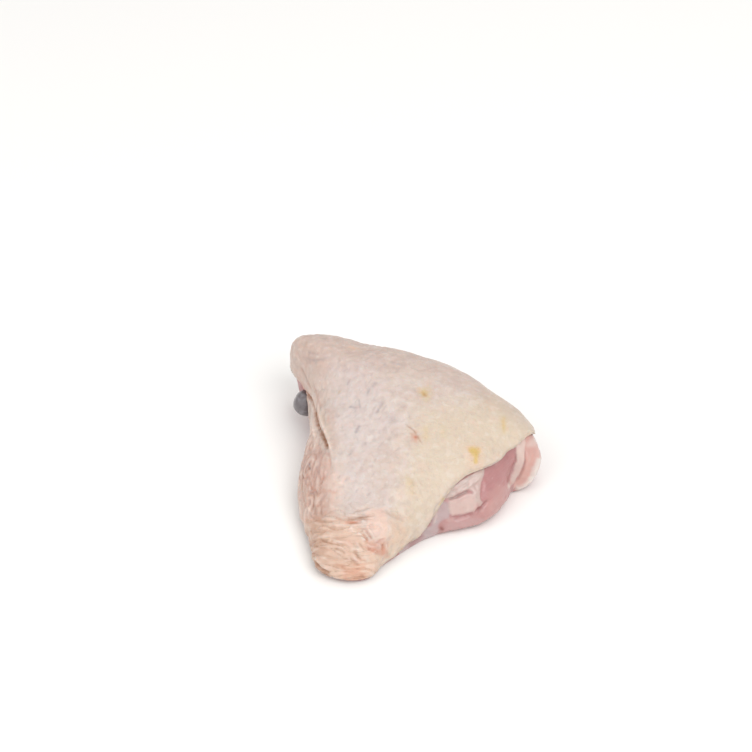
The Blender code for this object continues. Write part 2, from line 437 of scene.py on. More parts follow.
class Surface:
    """A fine mesh to press and paint, with its places and lengths in millimetres."""

    # How unevenly a line or the edge of a patch is painted and how unevenly a line is pressed, as shares,
    # and the lumps of that unevenness
    uneven = 0.6
    uneven_press = 0.25
    grain_size = (1.7, 1.7, 1.7)
    grain_seed = 3.7
    # How far a normal turns to the camera where a patch starts to show and where it shows fully, and how
    # much the grain frays that end
    sight = (-0.05, 0.25)
    frayed = 0.3
    # Points of a cast line to half its width, their least spacing, how many half widths the line reaches,
    # and where along it the first end starts to die away
    steps = 3
    least_step = 0.2
    line_reach = 2.5
    first_end = -0.01

    def __init__(self, piece: bpy.types.Object, view: PhotoView) -> None:
        """Reads the piece's mesh and keeps a copy of its surface to cast lines on."""
        self.piece = piece
        self.view = view
        self.read()
        self.tree = surface_tree(piece)
        self.reach = np.ones(len(self.points))
        self.layers: dict[Layer, np.ndarray] = {}

    @cached_property
    def grain(self) -> np.ndarray:
        """A random value for each vertex, for edges that aren't drawn with a ruler."""
        return lumps(self.points, self.grain_size, self.grain_seed)

    def read(self) -> None:
        """Reads the places and normals of the vertices."""
        mesh = self.piece.data
        flat = np.empty(len(mesh.vertices) * 3)
        mesh.vertices.foreach_get("co", flat)
        self.points = flat.reshape(-1, 3) / MM
        mesh.vertex_normals.foreach_get("vector", flat)
        self.normals = flat.reshape(-1, 3).copy()

    def write(self) -> None:
        """Writes the places back, and reads the new normals."""
        self.piece.data.vertices.foreach_set("co", (self.points * MM).ravel())
        self.piece.data.update()
        self.read()

    def lift(self, height: np.ndarray) -> None:
        """Moves each vertex along its normal, only where the piece may be worked."""
        self.points += self.normals * (height * self.reach)[:, None]

    def paint(self, layer: Layer, strength: np.ndarray) -> None:
        """Adds to a colour layer, up to its full strength."""
        there = self.layers.get(layer, np.zeros(len(self.points)))
        self.layers[layer] = 1 - (1 - there) * (1 - np.clip(strength, 0.0, 1.0))

    def nearness(self, line: Line) -> np.ndarray:
        """How near each vertex is to a line, from 1 on it to 0 well away from it."""
        found = np.zeros(len(self.points))
        path = self.view.cast(line.points, max(line.width / self.steps, self.least_step), self.tree)
        if not len(path):
            return found
        margin = line.width * self.line_reach
        inside = (self.points > path.min(axis=0) - margin) & (self.points < path.max(axis=0) + margin)
        near = np.flatnonzero(inside.all(axis=1))
        tree = near_tree(path)
        hits = [tree.find(place)[1:] for place in self.points[near].tolist()]
        index, gap = np.array(hits).reshape(-1, 2).T
        along = index / max(len(path) - 1, 1)
        end = np.minimum(along, 1 - along)
        ends = 1.0 if len(path) == 1 else ramp(end, self.first_end, line.taper)
        found[near] = np.exp(-((gap / line.width) ** 2)) * ends
        return found

    def inside(self, patch: Patch) -> np.ndarray:
        """How far inside a patch each vertex is, from 1 well within it to 0 outside it or out of sight."""
        spots = self.view.pixels(self.points)
        gap = np.full(len(spots), np.inf)
        within = np.zeros(len(spots), bool)
        corners = np.array(patch.outline, float)
        for start, end in zip(corners, np.roll(corners, -1, axis=0)):
            along = end - start
            share = np.clip((spots - start) @ along / (along @ along), 0.0, 1.0)
            gap = np.minimum(gap, np.linalg.norm(spots - start - share[:, None] * along, axis=1))
            level = (start[1] > spots[:, 1]) != (end[1] > spots[:, 1])
            if level.any():
                within ^= level & (spots[:, 0] < start[0] + (spots[:, 1] - start[1]) * along[0] / along[1])
        signed = np.where(within, gap, -gap) * self.view.pixel + self.uneven * patch.soft * self.grain
        in_sight = ramp(self.normals @ np.array(self.view.back) + self.frayed * self.grain, *self.sight)
        return ramp(signed, -patch.soft, patch.soft) * in_sight

    def lay(self, patches: dict[str, Patch]) -> None:
        """Paints and lifts patches."""
        for patch in patches.values():
            weight = self.inside(patch)
            self.lift(weight * patch.lift)
            self.paint(patch.layer, weight * patch.strength)

    def draw(self, lines: dict[str, Line]) -> None:
        """Presses and paints lines."""
        for line in lines.values():
            weight = self.nearness(line)
            self.lift(weight * (1 + self.uneven_press * self.grain) * line.lift)
            if line.layer:
                self.paint(line.layer, weight * (1 + self.uneven * self.grain) * line.strength)

    def tint(self, area: np.ndarray | float, values: np.ndarray, tint: Tint) -> None:
        """Paints a tint, given how much of each vertex is in its area and the values of its pattern."""
        self.paint(tint.layer, area * ramp(values, tint.start, tint.full) * tint.strength)

    def store_layers(self) -> None:
        """Writes each colour layer to the mesh as a point attribute."""
        for layer, strength in self.layers.items():
            attribute = self.piece.data.attributes.new(layer.value, "FLOAT", "POINT")
            attribute.data.foreach_set("value", np.clip(strength, 0.0, 1.0))


def surface_tree(piece: bpy.types.Object) -> BVHTree:
    """The piece's surface as a tree to cast on, in metres."""
    places = [vertex.co for vertex in piece.data.vertices]
    return BVHTree.FromPolygons(places, [face.vertices for face in piece.data.polygons])


def near_tree(places: np.ndarray) -> KDTree:
    """A tree that finds the nearest of some places, which it counts in their order."""
    tree = KDTree(len(places))
    for index, place in enumerate(places):
        tree.insert(place, index)
    tree.balance()
    return tree


def merged_copy(source: bpy.types.Object, name: str) -> bpy.types.Object:
    """A copy of a CAD node's form, its loose triangles joined, with no material."""
    piece = bpy.data.objects.new(name, source.data.copy())
    bpy.context.scene.collection.objects.link(piece)
    piece.data.materials.clear()
    activate(piece)
    bpy.ops.object.mode_set(mode="EDIT")
    bpy.ops.mesh.select_all(action="SELECT")
    bpy.ops.mesh.remove_doubles(threshold=SAME_PLACE)
    bpy.ops.object.mode_set(mode="OBJECT")
    return piece


def rounded(piece: bpy.types.Object, levels: int) -> None:
    """Rounds a piece by dividing each of its faces a number of times."""
    apply_modifier(piece, "round", "SUBSURF", levels=levels, render_levels=levels)


def fine_copy(source: bpy.types.Object, name: str, voxel: float, passes: int) -> bpy.types.Object:
    """A fine, even mesh of a CAD node's form.

    Args:
        source: the CAD node.
        name: the new piece's name.
        voxel: the spacing of the new vertices, in millimetres.
        passes: how many times the surface is smoothed.

    Returns:
        The new object, at the origin.
    """
    piece = merged_copy(source, name)
    rounded(piece, levels=2)
    apply_modifier(piece, "even", "REMESH", mode="VOXEL", voxel_size=voxel * MM)
    apply_modifier(piece, "smooth", "SMOOTH", factor=0.5, iterations=passes)
    return piece


def thin_out(piece: bpy.types.Object, hidden: np.ndarray, share: float) -> None:
    """Leaves only a share of the faces where the piece is hidden.

    Args:
        piece: the object.
        hidden: whether each vertex is hidden.
        share: the share of the hidden faces to keep.
    """
    activate(piece)
    piece.data.vertices.foreach_set("select", hidden)
    faces = piece.data.polygons
    faces.foreach_set("select", [all(hidden[corner] for corner in face.vertices) for face in faces])
    bpy.ops.object.mode_set(mode="EDIT")
    bpy.ops.mesh.select_mode(type="FACE")
    bpy.ops.mesh.decimate(ratio=share)
    bpy.ops.object.mode_set(mode="OBJECT")


class Value:
    """A number socket of a material, for use in Python expressions."""

    def __init__(self, bench: "Bench", socket: bpy.types.NodeSocket) -> None:
        """Keeps the socket and the bench that it is on."""
        self.bench = bench
        self.socket = socket

    def _maths(self, operation: str, first: "Value | float", second: "Value | float" = 0.0) -> "Value":
        """Adds one Math node."""
        made = self.bench.node("ShaderNodeMath", {"operation": operation}, {0: first, 1: second})
        return Value(self.bench, made.outputs[0])

    def __add__(self, other: "Value | float") -> "Value":
        """Sum."""
        return self._maths("ADD", self, other)

    def __radd__(self, other: float) -> "Value":
        """Sum."""
        return self._maths("ADD", other, self)

    def __rsub__(self, other: float) -> "Value":
        """Difference."""
        return self._maths("SUBTRACT", other, self)

    def __mul__(self, other: "Value | float") -> "Value":
        """Product."""
        return self._maths("MULTIPLY", self, other)

    def between(self, low: float, high: float) -> "Value":
        """A smooth step from 0 at low to 1 at high."""
        settings = {"interpolation_type": "SMOOTHSTEP"}
        made = self.bench.node("ShaderNodeMapRange", settings, {0: self, 1: low, 2: high, 3: 0.0, 4: 1.0})
        return Value(self.bench, made.outputs[0])


class Bench:
    """Lays out the nodes of one material."""

    def __init__(self, name: str) -> None:
        """Starts a material with its shader and its object coordinates."""
        self.material = bpy.data.materials.new(name)
        self.material.use_nodes = True
        self.tree = self.material.node_tree
        self.shader = self.tree.nodes["Principled BSDF"]
        self.place = self.node("ShaderNodeTexCoord").outputs["Object"]

    def node(self, kind: str, settings: dict | None = None, inputs: dict | None = None) -> bpy.types.Node:
        """Adds a node.

        Args:
            kind: the node's type.
            settings: its properties, which are set first.
            inputs: a value, a socket or a Value for each input that isn't left as it is.

        Returns:
            The node.
        """
        made = self.tree.nodes.new(kind)
        for name, value in (settings or {}).items():
            setattr(made, name, value)
        for key, value in (inputs or {}).items():
            self.feed(made.inputs[key], value)
        return made

    def feed(self, socket: bpy.types.NodeSocket, value: Value | Colour | float) -> None:
        """Links or sets one input."""
        if isinstance(value, Value):
            value = value.socket
        if isinstance(value, bpy.types.NodeSocket):
            self.tree.links.new(value, socket)
        else:
            socket.default_value = value

    def scaled(self, size: Size, turn: float = 0.0, tip: float = 0.0) -> bpy.types.NodeSocket:
        """Object coordinates in lumps of a size in millimetres, tipped about X and turned about Z."""
        settings = {"Vector": self.place, "Rotation": (math.radians(tip), 0.0, math.radians(turn))}
        turned = self.node("ShaderNodeMapping", None, settings).outputs[0]
        scale = tuple(1 / (length * MM) for length in size)
        return self.node("ShaderNodeMapping", None, {"Vector": turned, "Scale": scale}).outputs[0]

    def mottle(self, size: float | Size, detail: float = 2.0, turn: float = 0.0, tip: float = 0.0) -> Value:
        """Noise with lumps of a size in millimetres, about 0.5 on average, turned and tipped by degrees."""
        lengths = size if isinstance(size, tuple) else (size, size, size)
        inputs = {"Vector": self.scaled(lengths, turn, tip), "Scale": 1.0, "Detail": detail}
        return Value(self, self.node("ShaderNodeTexNoise", None, inputs).outputs["Fac"])

    def ridges(self, size: Size, tip: float = 0.0, groove: float = 0.08) -> Value:
        """Narrow grooves, 0 where a noise is at its middle, between broad ridges of 1."""
        level = self.mottle(size, 1.0, 0.0, tip)
        return level.between(0.5, 0.5 + groove) + level.between(0.5, 0.5 - groove)

    def cells(self, size: float, feature: str) -> Value:
        """Distances in a pattern of cells of a size in millimetres."""
        inputs = {"Vector": self.scaled((size, size, size)), "Scale": 1.0}
        made = self.node("ShaderNodeTexVoronoi", {"feature": feature}, inputs)
        return Value(self, made.outputs["Distance"])

    def layer(self, layer: Layer) -> Value:
        """A colour layer of the piece."""
        settings = {"attribute_type": "GEOMETRY", "attribute_name": layer.value}
        return Value(self, self.node("ShaderNodeAttribute", settings).outputs["Fac"])

    def blend(self, share: Value, under: Colour, over: Colour) -> bpy.types.NodeSocket:
        """Mixes two colours."""
        settings = {"data_type": "RGBA", "clamp_factor": True}
        under, over = ((*colour, 1.0) if isinstance(colour, tuple) else colour for colour in (under, over))
        return self.node("ShaderNodeMix", settings, {0: share, 6: under, 7: over}).outputs[2]

    def spotted(self, colour: Colour, values: Value, spots: Mottling) -> bpy.types.NodeSocket:
        """Lays mottling over a colour, where the values of a noise say."""
        share = values.between(spots.start, spots.full) * spots.strength
        return self.blend(share, colour, linear(spots.code))

    def overlaid(self, colour: Colour, layers: Overlays, broken: Value) -> bpy.types.NodeSocket:
        """Lays the piece's colour layers over a colour, each broken up by a noise."""
        for layer, code in layers:
            colour = self.blend(self.layer(layer) * broken, colour, linear(code))
        return colour

    def bump(self, height: Value, depth: float) -> None:
        """Gives the shader a fine relief of a depth in millimetres."""
        inputs = {"Height": height, "Distance": depth * MM, "Strength": 1.0}
        self.feed(self.shader.inputs["Normal"], self.node("ShaderNodeBump", None, inputs).outputs[0])

    def finish(self, inputs: dict) -> bpy.types.Material:
        """Sets the shader's inputs and gives the material."""
        for name, value in inputs.items():
            self.feed(self.shader.inputs[name], value)
        return self.material


@dataclass(frozen=True)
class SkinFinish:
    """Raw skin: pale and a little see-through, with the colours below showing in patches.

    Attributes:
        ground: its main display colour.
        blotch_size: size of the broad patches.
        blotches: their darker mottling.
        cloud_size: size of the clouds on them.
        clouds: their pale and darker mottling.
        speck_size: size of the specks.
        specks: their pale and darker mottling.
        grain_size: size of the finest grain of the relief.
        pimple_size: distance of its pimples.
        net_size: distance of its pores.
        relief: its depth.
        fold_tip: how the run of the loose folds is tipped, in degrees.
        broad_fold: size of the broad ones.
        fine_fold: size of the fine ones.
        washes: colour layers that lie under the clouds and specks.
        overlays: colour layers that lie over them.
    """

    ground: str = "e1cfc3"
    blotch_size: float = 8.0
    blotches: Mottling = Mottling(0.36, 0.72, 0.5, "cfb9af")
    cloud_size: float = 3.0
    clouds: tuple[Mottling, ...] = (Mottling(0.54, 0.7, 0.22, "f3ebe4"), Mottling(0.46, 0.3, 0.2, "cfb9af"))
    speck_size: float = 1.5
    specks: tuple[Mottling, ...] = (Mottling(0.62, 0.76, 0.2, "f3ebe4"), Mottling(0.4, 0.3, 0.18, "cfb9af"))
    grain_size: float = 0.5
    pimple_size: float = 2.3
    net_size: float = 1.25
    relief: float = 0.2
    fold_tip: float = -38.0
    broad_fold: Size = (7.0, 1.3, 6.0)
    fine_fold: Size = (4.0, 0.8, 3.0)
    # Some of these layers carry painted light: blush is also painted shade on the back, lilac painted
    # highlight on the bubbles' tops, red, grey and brown also painted shade in creases and hollows, and
    # pale also painted highlight on ridges and lips
    washes: Overlays = (
        (Layer.LILAC, "e5d8d6"),
        (Layer.CREAM, "e0ceb6"),
        (Layer.BLUSH, "c9a294"),
    )
    overlays: Overlays = (
        (Layer.PEACH, "f2c8ac"),
        (Layer.PINK, "efcdbd"),
        (Layer.RED, "d6937a"),
        (Layer.VEIN, "a6979b"),
        (Layer.STAIN, "dab75c"),
        (Layer.BROWN, "a8714f"),
        (Layer.PALE, "f5dfd2"),
    )

    def material(self) -> bpy.types.Material:
        """Makes the material."""
        bench = Bench("raw_skin")
        patches = bench.mottle(self.blotch_size)
        clouds = bench.mottle(self.cloud_size)
        specks = bench.mottle(self.speck_size)
        colour = bench.spotted(linear(self.ground), patches, self.blotches)
        for layer, code in self.washes:
            colour = bench.blend(bench.layer(layer), colour, linear(code))
        for spots in self.clouds:
            colour = bench.spotted(colour, clouds, spots)
        for spots in self.specks:
            colour = bench.spotted(colour, specks, spots)
        colour = bench.overlaid(colour, self.overlays, 0.75 + clouds * 0.5)
        bench.bump(self.height(bench, patches, clouds, specks), self.relief)
        return bench.finish(
            {
                "Base Color": colour,
                "Roughness": 0.36 + patches * 0.16 + specks * 0.1,
                "Coat Weight": 0.12 + bench.layer(Layer.PEACH) * 0.2,
                "Coat Roughness": 0.22,
                "Subsurface Weight": 0.25,
                "Subsurface Radius": (1.0, 0.45, 0.3),
                "Subsurface Scale": 0.001,
                "Specular IOR Level": 0.4,
            }
        )

    def height(self, bench: Bench, patches: Value, clouds: Value, specks: Value) -> Value:
        """The fine relief: pimples, a net of pores and the mottling's own, with folds where it is loose."""
        pimples = 1 - bench.cells(self.pimple_size, "SMOOTH_F1").between(0.05, 0.62)
        net = bench.cells(self.net_size, "DISTANCE_TO_EDGE").between(0.0, 0.16)
        grain = bench.mottle(self.grain_size, 1.0)
        broad = bench.ridges(self.broad_fold, self.fold_tip)
        fine = bench.ridges(self.fine_fold, self.fold_tip)
        plain = pimples * (0.2 + patches * 0.5) + net * 0.18 + clouds * 0.9 + specks * 0.6 + grain * 0.25
        return plain + bench.layer(Layer.PEACH) * (broad * 0.8 + fine * 0.4)


@dataclass(frozen=True)
class MeatFinish:
    """Raw muscle: pink, wet and fibrous, with pale fat and film over parts of it.

    Attributes:
        ground: its main display colour.
        run: which way the fibres run, in degrees about Z.
        fibre_size: size of the fibres.
        fibres: their dark mottling.
        patch_size: size of the patches.
        patches: their light mottling.
        thread_size: size of the fat's threads.
        threads: their pale mottling.
        relief: depth of the fine relief.
        overlays: colour layers that lie over all these.
    """

    ground: str = "c18a89"
    run: float = 35.0
    fibre_size: Size = (0.5, 5.0, 0.5)
    fibres: Mottling = Mottling(0.35, 0.7, 0.35, "b47c7c")
    patch_size: float = 5.0
    patches: Mottling = Mottling(0.5, 0.75, 0.35, "d0a09c")
    thread_size: Size = (1.2, 4.0, 1.2)
    threads: Mottling = Mottling(0.66, 0.72, 0.3, "e4cdc2")
    relief: float = 0.2
    # Of these layers, deep is also painted shade along the grooves, and grey is a painted shadow in the
    # film's crease
    overlays: Overlays = (
        (Layer.BLUSH, "d3a49d"),
        (Layer.PINK, "ddaea3"),
        (Layer.MAUVE, "c9b6b6"),
        (Layer.PALE, "e6d0c6"),
        (Layer.CREAM, "d2bcb3"),
        (Layer.LILAC, "eee0d8"),
        (Layer.DEEP, "a56a68"),
        (Layer.BROWN, "8c4a42"),
        (Layer.VEIN, "b29891"),
    )

    def material(self) -> bpy.types.Material:
        """Makes the material."""
        bench = Bench("raw_muscle")
        fibres = bench.mottle(self.fibre_size, turn=self.run)
        patches = bench.mottle(self.patch_size)
        threads = bench.mottle(self.thread_size, 3.0, self.run)
        colour = bench.spotted(linear(self.ground), fibres, self.fibres)
        colour = bench.spotted(colour, patches, self.patches)
        colour = bench.spotted(colour, threads, self.threads)
        colour = bench.overlaid(colour, self.overlays, 0.8 + patches * 0.4)
        bench.bump(fibres * 0.6 + patches * 1.2, self.relief)
        return bench.finish(
            {
                "Base Color": colour,
                "Roughness": 0.26 + patches * 0.18,
                "Coat Weight": 0.3,
                "Coat Roughness": 0.14,
                "Subsurface Weight": 0.2,
                "Subsurface Radius": (1.0, 0.3, 0.25),
                "Subsurface Scale": 0.001,
            }
        )


@dataclass(frozen=True)
class GristleFinish:
    """The bone's end: pearly blue grey, paler in patches and reddish in spots.

    Attributes:
        ground: its main display colour.
        patch_size: size of the patches.
        pale: their pale mottling.
        spot_size: size of the spots.
        blush: their reddish mottling.
        relief: depth of the fine relief.
    """

    ground: str = "787174"
    patch_size: float = 3.0
    pale: Mottling = Mottling(0.5, 0.75, 0.6, "aaa6ad")
    spot_size: float = 2.0
    blush: Mottling = Mottling(0.6, 0.8, 0.4, "855f60")
    relief: float = 0.25

    def material(self) -> bpy.types.Material:
        """Makes the material."""
        bench = Bench("wet_gristle")
        patches = bench.mottle(self.patch_size, 3.0)
        colour = bench.spotted(linear(self.ground), patches, self.pale)
        colour = bench.spotted(colour, bench.mottle(self.spot_size), self.blush)
        bench.bump(patches, self.relief)
        return bench.finish(
            {
                "Base Color": colour,
                "Roughness": 0.22 + patches * 0.15,
                "Coat Weight": 0.4,
                "Coat Roughness": 0.1,
                "Subsurface Weight": 0.25,
                "Subsurface Radius": (1.0, 0.8, 0.8),
                "Subsurface Scale": 0.0015,
            }
        )


SKIN_PATCHES = {
    # Painted shade: the back is darker where it turns away from the light
    "back": Patch(
        ((300, 325), (400, 338), (500, 372), (560, 440), (520, 420), (460, 385), (390, 368), (330, 362),
         (300, 362)),
        Layer.BLUSH, 0.2, 6.0,
    ),
    "hip": Patch(
        ((290, 340), (330, 338), (384, 350), (394, 380), (360, 396), (325, 400), (308, 385)),
        Layer.BLUSH, 0.12, 6.0,
    ),
    "hip corner": Patch(
        ((286, 352), (292, 338), (312, 333), (326, 366), (322, 398), (304, 402)), Layer.BLUSH, 0.22, 3.0
    ),
    "fold's upper end": Patch(
        ((300, 384), (306, 384), (324, 420), (318, 426), (310, 408)), Layer.BLUSH, 0.35, 1.5
    ),
    "left strip": Patch(
        ((298, 438), (312, 434), (325, 450), (328, 478), (330, 500), (326, 524), (302, 522), (290, 480)),
        Layer.BLUSH, 0.74, 3.0,
    ),
    "mauve of the strip": Patch(
        ((303, 432), (316, 430), (326, 462), (326, 494), (308, 498), (298, 478)), Layer.RED, 0.14, 2.5
    ),
    "lower strip": Patch(
        ((294, 486), (321, 486), (330, 500), (328, 524), (302, 522), (294, 508)), Layer.BROWN, 0.14, 4.0
    ),
    # Pale on the strip's edge and on the side fold's lip: the skin's paler colour and painted highlight
    "pale edge of the strip": Patch(
        ((298, 482), (305, 480), (309, 498), (312, 516), (304, 520), (298, 504)), Layer.PALE, 0.3, 1.5
    ),
    "pale lip of the strip": Patch(
        ((311, 424), (315, 418), (317, 434), (318, 450), (312, 452), (309, 440)), Layer.PALE, 0.35, 1.5
    ),
    "mauve specks' ground": Patch(
        ((309, 456), (324, 454), (325, 488), (310, 492)), Layer.LILAC, 0.35, 2.0
    ),
    "beside the side fold": Patch(((327, 410), (336, 410), (338, 450), (331, 452)), Layer.RED, 0.14, 1.8),
    "yellow of the side fold": Patch(
        ((318, 412), (324, 412), (332, 446), (326, 446)), Layer.STAIN, 0.13, 2.0
    ),
    "between strip and middle": Patch(
        ((327, 462), (338, 466), (342, 494), (334, 516), (326, 512)), Layer.PINK, 0.5, 3.5
    ),
    "left of the middle": Patch(
        ((326, 360), (372, 362), (395, 420), (372, 455), (352, 470), (336, 440)), Layer.LILAC, 0.5, 7.0
    ),
    "front of the middle": Patch(((335, 470), (372, 470), (378, 505), (344, 514)), Layer.LILAC, 0.4, 4.0),
    "right half": Patch(
        ((418, 410), (500, 392), (545, 432), (500, 462), (452, 492), (432, 525), (400, 556), (386, 548),
         (402, 500)),
        Layer.CREAM, 0.75, 7.0,
    ),
    "far right": Patch(
        ((484, 396), (530, 420), (542, 438), (505, 456), (462, 470), (470, 440)), Layer.CREAM, 0.25, 6.0
    ),
    "knee": Patch(
        ((304, 519), (330, 516), (352, 520), (364, 532), (372, 546), (384, 556), (378, 572), (366, 584),
         (340, 584), (316, 578), (306, 548)),
        Layer.PEACH, 0.55, 2.2,
    ),
    "left of the knee": Patch(
        ((300, 526), (318, 524), (327, 540), (326, 562), (308, 562)), Layer.BROWN, 0.32, 3.0
    ),
    "low left of the knee": Patch(
        ((318, 552), (338, 552), (350, 562), (340, 572), (322, 568)), Layer.BROWN, 0.14, 3.0
    ),
    "knee tip": Patch(
        ((338, 566), (356, 562), (369, 566), (368, 584), (340, 584)), Layer.PEACH, 0.5, 2.4
    ),
    "knee tip in red": Patch(((343, 568), (364, 566), (364, 577), (345, 579)), Layer.RED, 0.42, 1.8),
    "right of the knee": Patch(
        ((372, 556), (390, 548), (400, 552), (384, 566), (374, 574)), Layer.CREAM, 0.5, 2.0
    ),
    "above the lower hem": Patch(
        ((388, 522), (404, 522), (404, 546), (390, 550)), Layer.PEACH, 0.45, 4.0
    ),
    "above the knee": Patch(
        ((366, 511), (384, 508), (389, 524), (386, 539), (375, 538), (367, 526)), Layer.PINK, 0.75, 1.2
    ),
    "crumple": Patch(
        ((363, 538), (372, 540), (380, 539.5), (387.5, 541), (388, 555), (380, 556), (368, 548)),
        Layer.RED, 0.5, 1.0,
    ),
    "crumple foot": Patch(((378, 551), (386, 549), (388, 557), (383, 560)), Layer.RED, 0.3, 1.2),
    "large stain": Patch(
        ((469, 448), (473, 447), (479, 448), (479.5, 452), (478, 456), (478.5, 463), (474, 463.5),
         (473, 456), (471, 453), (468.5, 452)),
        Layer.STAIN, 0.84, 1.0,
    ),
    "beside the large stain": Patch(
        ((467, 453), (470.5, 454), (471.5, 460), (467.5, 460)), Layer.LILAC, 0.5, 0.6
    ),
    # Painted shadow: a brown crescent where the skin's lower edge tucks under its rolled lip
    "tucked corner": Patch(
        ((314, 561), (318, 565), (322, 568), (328, 571), (330.5, 573.5), (327, 577), (319, 577),
         (312, 571)),
        Layer.BROWN, 0.62, 0.6,
    ),
    "large stain's halo": Patch(((464, 445), (483, 445), (484, 467), (468, 468)), Layer.PEACH, 0.35, 1.8),
    "small stain's halo": Patch(
        ((419, 388), (428, 386), (431, 394), (427, 401), (420, 399)), Layer.STAIN, 0.34, 1.8
    ),
    "red halo": Patch(((411, 434), (417, 432), (420, 438), (417, 443), (412, 441)), Layer.RED, 0.5, 1.2),
    "grey patch": Patch(((388, 416), (395, 416), (396, 423), (389, 424)), Layer.VEIN, 0.22, 1.2),
}

